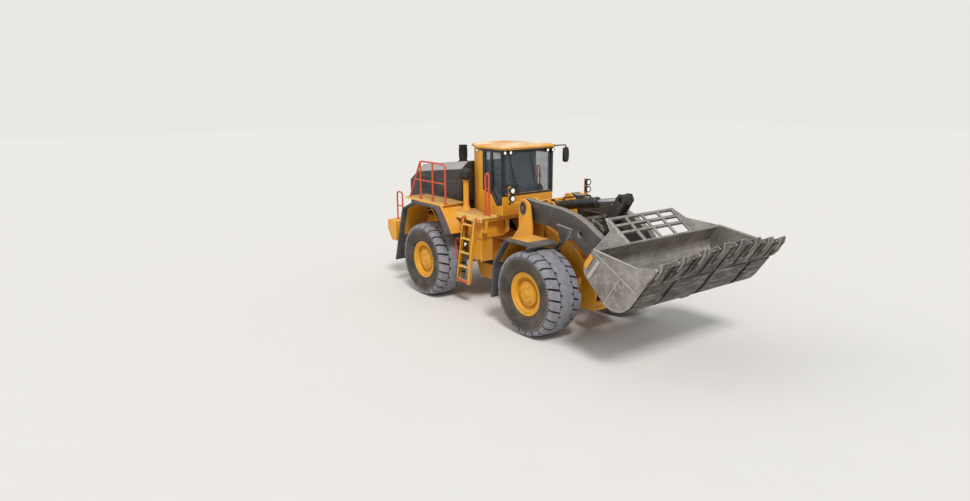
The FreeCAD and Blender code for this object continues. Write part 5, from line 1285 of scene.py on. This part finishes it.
class LOADER_OT_cab(bpy.types.Operator):
    """Cab shell, roof, glass, door, wipers, lamps under the roof and the lining"""

    bl_idname = "loader.cab"
    bl_label = "Cab"

    def execute(self, context):
        plastic, _, lining, steel = range(4)
        look = finishes("yellow_enamel", "lining", "black_plastic")
        dressed("cab_shell", look, cab_rule, ((2, 2905), (0, 150)), bevel=8)
        dressed("cab_roof", finishes("yellow_roof"), bevel=26)
        dressed("cab_glass", finishes("glass"), bevel=0)
        dressed("door_glass", finishes("glass"), bevel=0)
        look = finishes("black_plastic", "yellow_enamel")
        dressed("cab_door", look, lambda m, n: int(m[2] < 2740), ((2, 2740),), bevel=6)
        parts = []
        # Black frames stand just proud of the shell round the side window, windscreen and rear window.
        parts.append((ring_plate(WINDOW_FRAME, WINDOW, "XZ", -837, -822), plastic))
        screen = [(-760, 2950), (760, 2950), (760, 3980), (-760, 3980)]
        outer = [(-828, 2905), (828, 2905), (828, 4046), (-828, 4046)]
        parts.append((ring_plate(outer, screen, "YZ", 212, 227), plastic))
        rear = [(-410, 3050), (410, 3050), (410, 3960), (-410, 3960)]
        outer = [(-470, 2990), (470, 2990), (470, 4040), (-470, 4040)]
        parts.append((ring_plate(outer, rear, "YZ", -1456, -1442), plastic))
        # The window's mullion and its rubber.
        parts.append((box(-280, -206, -834, -800, 2990, 3992), plastic))
        seal = np.insert(np.array(WINDOW + WINDOW[:1], float), 1, -838, axis=1)
        parts.append((tube(seal, 9, 6), lining))
        # Dark seal between shell and roof.
        for _, side in SIDES:
            parts.append((box(-740, 226, 829 * side, 842 * side, 4008, 4052), plastic))
        # Wipers: hub, arm and blade on the windscreen, and one on the right-hand window.
        for y in (-330, 360):
            top = np.array((226, y - 250, 3730))
            parts.append((tube([(236, y, 2930), (234, y - 14, 3020), top], [13, 9, 6], 8), plastic))
            parts.append((tube([top - (0, -100, 330), top + (0, -50, 190)], 8, 6), plastic))
            hub = [(0, 0), (26, 0), (26, 20), (0, 20)]
            parts.append((solid(hub, (220, y, 2930), "X", 20), plastic))
        wiper = tube([(60, -828, 2960), (-40, -838, 3080), (-150, -838, 3600)], [12, 9, 6], 8)
        parts.append((wiper, plastic))
        # The door's sill.
        parts.append((box(-520, 150, 832, 850, 2470, 2486), steel))
        look = finishes("black_plastic", "yellow_enamel", "lining", "pin_steel")
        piece("cab_trim", parts, look, "rear", bevel=2)
        handle = [(-480, 830, 2890), (-480, 862, 2890), (-480, 862, 3020), (-480, 830, 3020)]
        parts = [(tube(filleted(handle, 20, 5), 9, 8), plastic)]
        piece("door_handle", parts, finishes("black_plastic"), "cab_door")
        self.lamps()
        self.room()
        return {"FINISHED"}

    @staticmethod
    def lamps():
        """Round work lamps hung under the roof's edges; each faces along its own axis."""
        plastic, glass = range(2)
        shell = np.array([(0, -46), (34, -44), (50, -18), (50, 10), (42, 12), (38, 4), (0, 4)], float)
        lens = np.array([(0, 3), (37, 3), (37, 6), (20, 10), (0, 11)], float)
        parts = []
        for x, y, axis, way in (
            (262, -790, "X", 1), (262, -610, "X", 1), (262, 610, "X", 1), (262, 790, "X", 1),
            (-1492, -380, "X", -1), (-1492, 380, "X", -1), (-900, -790, "Y", -1), (-900, 790, "Y", 1),
        ):
            at = (x, y, 3990)
            parts += [
                (solid(shell * (1, way), at, axis), plastic),
                (solid(lens * (1, way), at, axis), glass),
                (box(x - 12, x + 12, y - 12, y + 12, 4032, 4051), plastic),
            ]
        piece("work_lamps", parts, finishes("black_plastic", "lamp_glass"), "rear")

    @staticmethod
    def room():
        """Seat cushions, steering wheel, consoles and screen."""
        plastic, lining = range(2)
        floor = 2480.6
        bellows = [
            (0, 0), (190, 0), (170, 50), (195, 90), (170, 130), (195, 170), (170, 210), (190, 250), (0, 250)
        ]
        base = [
            (box(-900, -480, -200, 200, floor, floor + 60), plastic),
            (solid(bellows, (-690, 0, floor + 60), "Z"), plastic),
            (box(-930, -420, -240, 240, floor + 310, floor + 345), plastic),
        ]
        for _, side in SIDES:
            y = 330 * side
            strut = [(-860, 290 * side, floor + 420), (-860, y, floor + 560), (-700, y, floor + 580)]
            base += [
                (pillow((-640, y, floor + 610), (230, 42, 34), 0.5), lining),
                (box(-560, -430, 300 * side, 360 * side, floor + 560, floor + 590), plastic),
                (tube([(-440, y, floor + 600), (-430, y, floor + 720)], [14, 9], 8), lining),
                (pillow((-430, y, floor + 735), (24, 24, 30), 0.7), lining),
                (tube(filleted(strut, 50, 5), 18, 8), plastic),
            ]
        look = finishes("black_plastic", "lining")
        piece("seat_base_and_arms", base, look, "rear", ["driver_seat"], bevel=4)
        pad = [(pillow((-670, 0, floor + 400), (290, 268, 64)), 0)]
        cushion = piece("seat_cushion_pad", pad, finishes("seat_cloth"), "rear")
        back = pillow((-905, 0, floor + 800), (62, 248, 372))
        back = leaned(back, np.array((-905, 0, floor + 450)), "Y", -6)
        backrest = piece("seat_back_pad", [(back, 0)], finishes("seat_cloth"), "rear")
        turn = turns(12)
        rim = np.stack([176 + 15 * np.cos(turn), 15 * np.sin(turn)], axis=1)
        at = np.array((-165, 0, floor + 715))
        hub = solid([(0, -30), (52, -26), (56, 0), (40, 20), (0, 24)], at, "Z")
        upper = [lathe(rim, at, "Z", 48), hub]
        for angle in (0.6, 2.5, 4.7):
            end = at + np.array((math.cos(angle), math.sin(angle), 0)) * 172
            upper.append(tube([at, end], [16, 11], 8))
        wheel = [(leaned(part, at, "Y", -24), plastic) for part in upper]
        column = [(60, 0, floor + 20), (20, 0, floor + 420), (-150, 0, floor + 690)]
        wheel += [
            (tube(column, [70, 58, 40], 16), lining),
            (pillow((20, 0, floor + 500), (78, 105, 130), 0.6), lining),
            (box(-20, 90, -110, 110, floor, floor + 60), lining),
        ]
        name = "steering_wheel_and_column"
        piece(name, wheel, look, "rear", ["steering_column"], bevel=3)
        plastic, glass, lining = range(3)
        dash = [
            (box(20, 140, -560, -260, 2700, 2900), plastic),
            (box(60, 78, -735, -470, 3120, 3300), plastic),
            (box(56, 61, -720, -485, 3135, 3285), glass),
            (tube([(100, -600, 2890), (72, -600, 3130)], 14, 8), plastic),
            (box(-860, -420, -742, -480, 2481, 2900), lining),
            (box(-1340, -1000, -380, 380, 2481, 2760), lining),
            (box(-500, -440, -700, -520, 2898, 2930), plastic),
        ]
        look = finishes("black_plastic", "glass", "lining")
        piece("cab_consoles", dash, look, "rear", bevel=8)


# Hood.


class LOADER_OT_hood(bpy.types.Operator):
    """Hood, side doors with louvres, rear grille, engine and what stands on the hood"""

    bl_idname = "loader.hood"
    bl_label = "Hood"

    def execute(self, context):
        # The hood's faces that turn up, above 3 m, take the pale grey: a painted highlight of the sky.
        look = finishes("charcoal_enamel", "grey_enamel")
        dressed("hood", look, lambda m, n: int(n[2] > 0.3 and m[2] > 3000), bevel=9)
        for name, side in SIDES:
            node = f"engine_door_{name}"
            dressed(node, finishes("charcoal_enamel"), bevel=6)
            low, high = span_of(node)
            face = high[1] if side > 0 else low[1]
            parts = []
            for z in np.arange(low[2] + 90, high[2] - 60, 34):
                near, far = face - 8 * side, face + 9 * side
                slat = [(near, z), (far, z - 12), (far, z - 7), (near, z + 5)]
                parts.append((plate(slat, "YZ", -3560, -2820), 0))
            for x in (-3578, -2810):
                parts.append((box(x, x + 12, face - 6 * side, face + 9 * side, low[2] + 60, high[2] - 50), 0))
            for x in (-2500, -1900):
                out, z = face + 34 * side, low[2] + 70
                grip = [(x, face, z), (x, out, z), (x + 130, out, z), (x + 130, face, z)]
                parts.append((tube(filleted(grip, 24, 4), 9, 8), 0))
            look = finishes("black_plastic")
            piece(f"{node}_louvres", parts, look, BODY_OF[node], bevel=2)
        look = finishes("charcoal_enamel", "black_plastic")
        dressed("rear_grille", look, lambda m, n: int(abs(m[1]) < 690), bevel=5)
        dressed("engine", finishes("cast_iron"), bevel=30)
        fins = [(box(x, x + 40, -470, 470, 2450, 3060), 0) for x in np.arange(-3220, -1860, 120)]
        for _, side in SIDES:
            fins.append((tube([(-3200, 490 * side, 2960), (-1900, 490 * side, 2960)], 46, 20), 0))
            drum = [(0, 0), (120, 0), (120, 60), (0, 60)]
            fins.append((solid(drum, (-1900, 220 * side, 2800), "X"), 0))
        piece("engine_ribs", fins, finishes("cast_iron"), "rear", bevel=6)
        core = [(box(-4132, -4120, -750, 750, 2080, 2850), 0)]
        core += [(box(-4140, -4132, -750, 750, z, z + 7), 0) for z in np.arange(2100, 2850, 26)]
        piece("radiator_core", core, finishes("black_plastic"), "rear")
        self.stack()
        self.cleaner()
        return {"FINISHED"}

    @staticmethod
    def stack():
        """Exhaust stack with clamps, a heat shield of thin bars and a rolled, open mouth."""
        x0, y0, foot, wide, tall = -2220, -300, 3151, 1.25, 1.045
        rows = [
            (0, 3151), (86, 3151), (86, 3420), (94, 3430), (94, 3470), (88, 3480), (88, 3640), (95, 3650),
            (95, 3660), (90, 3668), (90, 3950), (95, 3965), (95, 3990), (82, 3990), (78, 3900), (0, 3900),
        ]
        rows = [(radius * wide, (z - foot) * tall) for radius, z in rows]
        parts = [(solid(rows, (x0, y0, foot), "Z", 40), 0)]
        for angle in np.linspace(0.2, 2 * np.pi - 0.2, 10):
            x, y = x0 + 117 * math.cos(angle), y0 + 117 * math.sin(angle)
            parts.append((tube([(x, y, 3700), (x, y, 3930)], 5, 6), 0))
        piece("exhaust_pipe", parts, finishes("burnt_steel"), "rear", ["exhaust_stack"])
        skirt = [(119, 0), (142, 0), (142, 24), (128, 40), (119, 40)]
        parts = [(lathe(skirt, (x0, y0, 3560), "Z", 40), 0)]
        piece("exhaust_collar", parts, finishes("charcoal_enamel"), "rear")

    @staticmethod
    def cleaner():
        """Air pre-cleaner: a mushroom bowl with vanes under its rim, on a yellow pipe."""
        plastic, enamel, steel = range(3)
        at = (-1100, -1010, 0)
        bowl = [
            (0, 3236), (100, 3236), (104, 3262), (128, 3272), (146, 3290), (150, 3330), (150, 3392),
            (142, 3420), (120, 3446), (86, 3464), (40, 3474), (0, 3477),
        ]
        stem = [
            (0, 2421), (150, 2421), (150, 2452), (112, 2470), (80, 2560), (74, 2640), (74, 3190), (92, 3200),
            (92, 3238), (0, 3238),
        ]
        rim, wide, tall = 3236, 1.17, 1.25
        bowl = [(radius * wide, rim + (z - rim) * tall) for radius, z in bowl]
        parts = [(solid(bowl, at, "Z", 48), plastic), (solid(stem, at, "Z", 40), enamel)]
        vanes = circle_of((at[0], at[1], 3290), "Z", 156, 28)
        parts.append((bolts(vanes, "Z", 20, -34), plastic))
        parts.append((bolt_circle((at[0], at[1], 2452), "Z", 132, 8, 20, 12), steel))
        look = finishes("black_plastic", "yellow_enamel", "pin_steel")
        piece("pre_cleaner_bowl", parts, look, "rear", ["pre_cleaner"])


# Rails, ladders, lamps.


# Rails: sides, distance from the centre line, the rail's line as (x, z), inner posts, foot and levels.
RAILS = (
    (
        (1, -1), 1480, ((-3150, 2602), (-2580, 3630), (-1370, 3630), (-1370, 2602)), (-2580, -1975), 2602,
        (3115,)
    ),
    ((-1,), 1050, ((-200, 2422), (-200, 3472), (-60, 3472), (-60, 2422)), (), 2422, ()),
    ((1,), 1230, ((-860, 2422), (-860, 3472), (-740, 3472), (-740, 2422)), (), 2422, (2720, 2960, 3200)),
    ((1, -1), 1200, ((-4380, 1762), (-4380, 2582), (-4080, 2582), (-4080, 1762)), (), 1762, (2170,)),
)


class LOADER_OT_rails(bpy.types.Operator):
    """Handrails bent from tube, with welded posts and foot plates"""

    bl_idname = "loader.rails"
    bl_label = "Handrails"

    def execute(self, context):
        enamel, steel = range(2)
        radius = sizes().rail / MM
        for name, side in SIDES:
            parts = []
            for sides, half, line, posts, foot, levels in RAILS:
                if side not in sides:
                    continue
                y = half * side
                route = np.insert(np.array(line, float), 1, y, axis=1)
                parts.append((tube(filleted(route, 110, 7), radius, 14), enamel))
                for x in posts:
                    parts.append((tube([(x, y, foot), (x, y, line[1][1])], radius, 12), enamel))
                (x0, z0), (x1, z1), (x2, _) = line[:3]
                for level in levels:
                    start = x0 + (x1 - x0) * (level - z0) / (z1 - z0)
                    parts.append((tube([(start, y, level), (x2, y, level)], radius * 0.8, 12), enamel))
                for x in [line[0][0], line[-1][0], *posts]:
                    flange = [(radius, 0), (54, 0), (54, 9), (radius, 12)]
                    parts.append((lathe(flange, (x, y, foot), "Z", 24), enamel))
                    parts.append((bolt_circle((x, y, foot + 8), "Z", 41, 4, 13, 7, 0.78), steel))
            look = finishes("rail_enamel", "pin_steel")
            piece(f"handrails_{name}_tubes", parts, look, "rear", [f"handrails_{name}"])
        return {"FINISHED"}


def deck_rule(middle, normal):
    """Tread plate on top of the decks and rungs, enamel on the rest."""
    return 1 if normal[2] > 0.9 else 0


class LOADER_OT_platforms(bpy.types.Operator):
    """Walkways, cab platforms, ladders with grab loops"""

    bl_idname = "loader.platforms"
    bl_label = "Platforms"

    def execute(self, context):
        orange, edge, enamel = range(3)
        radius = 17
        for name, side in SIDES:
            look = finishes("yellow_enamel", "tread_plate", "yellow_edge")
            dressed(f"platform_{name}", look, deck_rule, bevel=9, edge=2)
            y, deck = 1330 * side, 1290 * side
            parts = []
            # Grab loops beside the top of the ladder, and the long rail behind it.
            for x in (-790, -190):
                loop = [(x, y - 40 * side, 2130), (x, y + 52 * side, 2130), (x + 20, y + 52 * side, 2340)]
                loop += [(x + 95, y + 52 * side, 2340), (x + 95, y - 40 * side, 2300)]
                parts.append((tube(filleted(loop, 70, 6), radius, 10), orange))
            rail = [(-1010, y - 90 * side, 1700), (-1200, y - 30 * side, 1690), (-1155, y - 30 * side, 1190)]
            rail += [(-1090, y - 90 * side, 1150)]
            parts.append((tube(filleted(rail, 60, 6), radius, 10), orange))
            # The bottom step is a red-painted bar.
            parts.append((box(-1070, -570, deck + 76 * side, deck + 88 * side, 592, 650), orange))
            # Pale folded edge round the platform and the walkway.
            parts += [
                (box(-1262, -34, deck, deck + 10 * side, 2262, 2424), edge),
                (box(-36, -27, 420 * side, deck, 2352, 2424), edge),
                (box(-3296, -1334, 1560 * side, 1568 * side, 2546, 2606), edge),
            ]
            # Diagonal brace and step box in front of the ladder.
            brace = [(-205, 2375), (-60, 2375), (-215, 2080), (-360, 2080)]
            parts.append((plate(brace, "XZ", 1184 * side, 1210 * side), enamel))
            parts.append((box(-205, -60, 1080 * side, 1180 * side, 1985, 2030), enamel))
            for x in (-205, -75):
                parts.append((box(x, x + 15, 1080 * side, 1180 * side, 2025, 2376), enamel))
            look = finishes("rail_enamel", "yellow_edge", "yellow_enamel")
            piece(f"platform_{name}_fittings", parts, look, "rear", bevel=3)
        return {"FINISHED"}


def round_outline(y, z, radius, count=28):
    """A circle's points across and up."""
    turn = turns(count)
    return np.stack([y + radius * np.cos(turn), z + radius * np.sin(turn)], axis=1)


class LOADER_OT_lamps(bpy.types.Operator):
    """Headlamps on their brackets, the mirror and its glass"""

    bl_idname = "loader.lamps"
    bl_label = "Lamps and mirror"

    def execute(self, context):
        enamel, plastic, glass, steel = range(4)
        shell = [(0, -100), (44, -96), (74, -66), (84, -20), (84, 12), (76, 14), (72, 2), (0, 2)]
        lens = [(0, 1), (71, 1), (71, 6), (40, 12), (0, 14)]
        for name, side in SIDES:
            y = 1245 * side
            post = [(990, 2850), (1090, 2850), (1090, 2900), (1040, 2900), (1040, 3280), (990, 3280)]
            parts = [
                (plate(post, "XZ", 1217 * side, 1273 * side), enamel),
                (box(992, 1088, 953 * side, 1273 * side, 2852, 2898), enamel),
            ]
            for z in (3010, 3195):
                at = (1116, y, z)
                parts += [
                    (solid(shell, at, "X", 40), plastic),
                    (solid(lens, at, "X", 40), glass),
                    (bolt_circle((1129, y, z), "X", 79, 6, 9, 5), steel),
                ]
                bezel = ring_plate(round_outline(y, z, 84), round_outline(y, z, 57), "YZ", 1128, 1133)
                parts.append((bezel, plastic))
            look = finishes("yellow_enamel", "black_plastic", "lamp_glass", "pin_steel")
            piece(f"headlamp_{name}_pair", parts, look, "front", [f"headlamp_{name}"], bevel=3)
        plastic, glass = range(2)
        arm = [(236, 851, 4088), (236, 1270, 4088), (236, 1272, 3990)]
        parts = [
            (tube(filleted(arm, 50, 6), 16, 10), plastic),
            (pillow((232, 1272, 3832), (40, 92, 198), 0.3), plastic),
            (box(190, 194, 1196, 1348, 3660, 4004), glass),
            (solid([(0, 0), (34, 0), (34, 14), (0, 14)], (236, 851, 4088), "Y", 24), plastic),
        ]
        look = finishes("black_plastic", "mirror_glass")
        piece("mirror_and_arm", parts, look, "rear", ["mirror"])
        return {"FINISHED"}


# Stage.


class LOADER_OT_stage(bpy.types.Operator):
    """Pale floor, soft light and the camera at the photograph's angle"""

    bl_idname = "loader.stage"
    bl_label = "Stage"

    def execute(self, context):
        stage = bpy.context.scene.loader_stage
        mesh = bpy.data.meshes.new("floor")
        span = 90.0
        mesh.from_pydata(
            [(-span, -span, 0), (span, -span, 0), (span, span, 0), (-span, span, 0)], [], [(0, 1, 2, 3)]
        )
        floor = bpy.data.objects.new("floor", mesh)
        material, tree = blank("matt_floor_paint")
        place = add(tree, "ShaderNodeTexCoord").outputs["Object"]
        patches = spread(tree, noise(tree, place, 900), 0.3, 0.7, 0.0, 0.06)
        shade = mixed(tree, patches, rgba(stage.floor), rgba("#C4C0B8"))
        surface(tree, {"Base Color": shade, "Roughness": 0.9})
        mesh.materials.append(material)
        sun = bpy.data.lights.new("key", "SUN")
        sun.energy, sun.angle = stage.sun, math.radians(14)
        key = bpy.data.objects.new("key", sun)
        key.rotation_euler = (math.radians(38), math.radians(8), math.radians(52))
        fill = bpy.data.lights.new("fill", "SUN")
        fill.energy, fill.angle = stage.sun * 0.22, math.radians(40)
        side = bpy.data.objects.new("fill", fill)
        side.rotation_euler = (math.radians(58), 0, math.radians(-40))
        world = bpy.data.worlds.new("studio")
        world.use_nodes = True
        tree = world.node_tree
        tree.nodes.clear()
        path = add(tree, "ShaderNodeLightPath")
        seen = times(tree, path.outputs["Is Camera Ray"], path.outputs["Is Transmission Ray"], "MAXIMUM")
        light = add(tree, "ShaderNodeBackground", {"Color": rgba("#F4F6FA"), "Strength": stage.sky})
        pale = add(tree, "ShaderNodeBackground", {"Color": rgba("#E9E8E5"), "Strength": 1.0})
        joined = add(tree, "ShaderNodeMixShader", {0: seen, 1: light.outputs[0], 2: pale.outputs[0]})
        add(tree, "ShaderNodeOutputWorld", {"Surface": joined.outputs[0]})
        camera = bpy.data.cameras.new("camera")
        camera.lens, camera.sensor_width, camera.clip_end = stage.lens, 36.0, 300.0
        viewer = bpy.data.objects.new("camera", camera)
        ahead = Vector((-0.78039, 0.58395, -0.22360))
        right = Vector((0.60045, 0.79963, -0.00732))
        up = right.cross(ahead)
        turn = Matrix((right, up, -ahead)).transposed()
        viewer.matrix_world = Matrix.Translation((12.902, -11.539, 5.509)) @ turn.to_4x4()
        scene = bpy.context.scene
        for obj in (floor, key, side, viewer):
            scene.collection.objects.link(obj)
        scene.world, scene.camera = world, viewer
        scene.view_settings.view_transform = "Standard"
        return {"FINISHED"}


OPERATORS = (
    LOADER_OT_tyres, LOADER_OT_rims, LOADER_OT_axles, LOADER_OT_arms, LOADER_OT_cylinders, LOADER_OT_linkage,
    LOADER_OT_bucket, LOADER_OT_frames, LOADER_OT_fenders, LOADER_OT_cab, LOADER_OT_hood, LOADER_OT_rails,
    LOADER_OT_platforms, LOADER_OT_lamps, LOADER_OT_stage,
)
GROUPS = (("loader_sizes", LoaderSizes), ("loader_colours", LoaderColours), ("loader_stage", LoaderStage))


class LOADER_PT_panel(bpy.types.Panel):
    """Buttons for every piece, with the values that may be changed"""

    bl_idname = "LOADER_PT_panel"
    bl_label = "Wheel loader"
    bl_space_type = "VIEW_3D"
    bl_region_type = "UI"
    bl_category = "Loader"

    def draw(self, context):
        for group, kind in GROUPS:
            box_layout = self.layout.box()
            for field in kind.__annotations__:
                box_layout.prop(getattr(context.scene, group), field)
        for operator in OPERATORS:
            self.layout.operator(operator.bl_idname)


def register():
    for _, kind in GROUPS:
        bpy.utils.register_class(kind)
    for kind in (*OPERATORS, LOADER_PT_panel):
        bpy.utils.register_class(kind)
    for name, kind in GROUPS:
        setattr(bpy.types.Scene, name, PointerProperty(type=kind))


def unregister():
    for name, _ in GROUPS:
        delattr(bpy.types.Scene, name)
    for kind in (LOADER_PT_panel, *reversed(OPERATORS)):
        bpy.utils.unregister_class(kind)
    for _, kind in reversed(GROUPS):
        bpy.utils.unregister_class(kind)


def main():
    register()
    for operator in OPERATORS:
        group, name = operator.bl_idname.split(".")
        getattr(getattr(bpy.ops, group), name)()


if __name__ == "__main__":
    main()
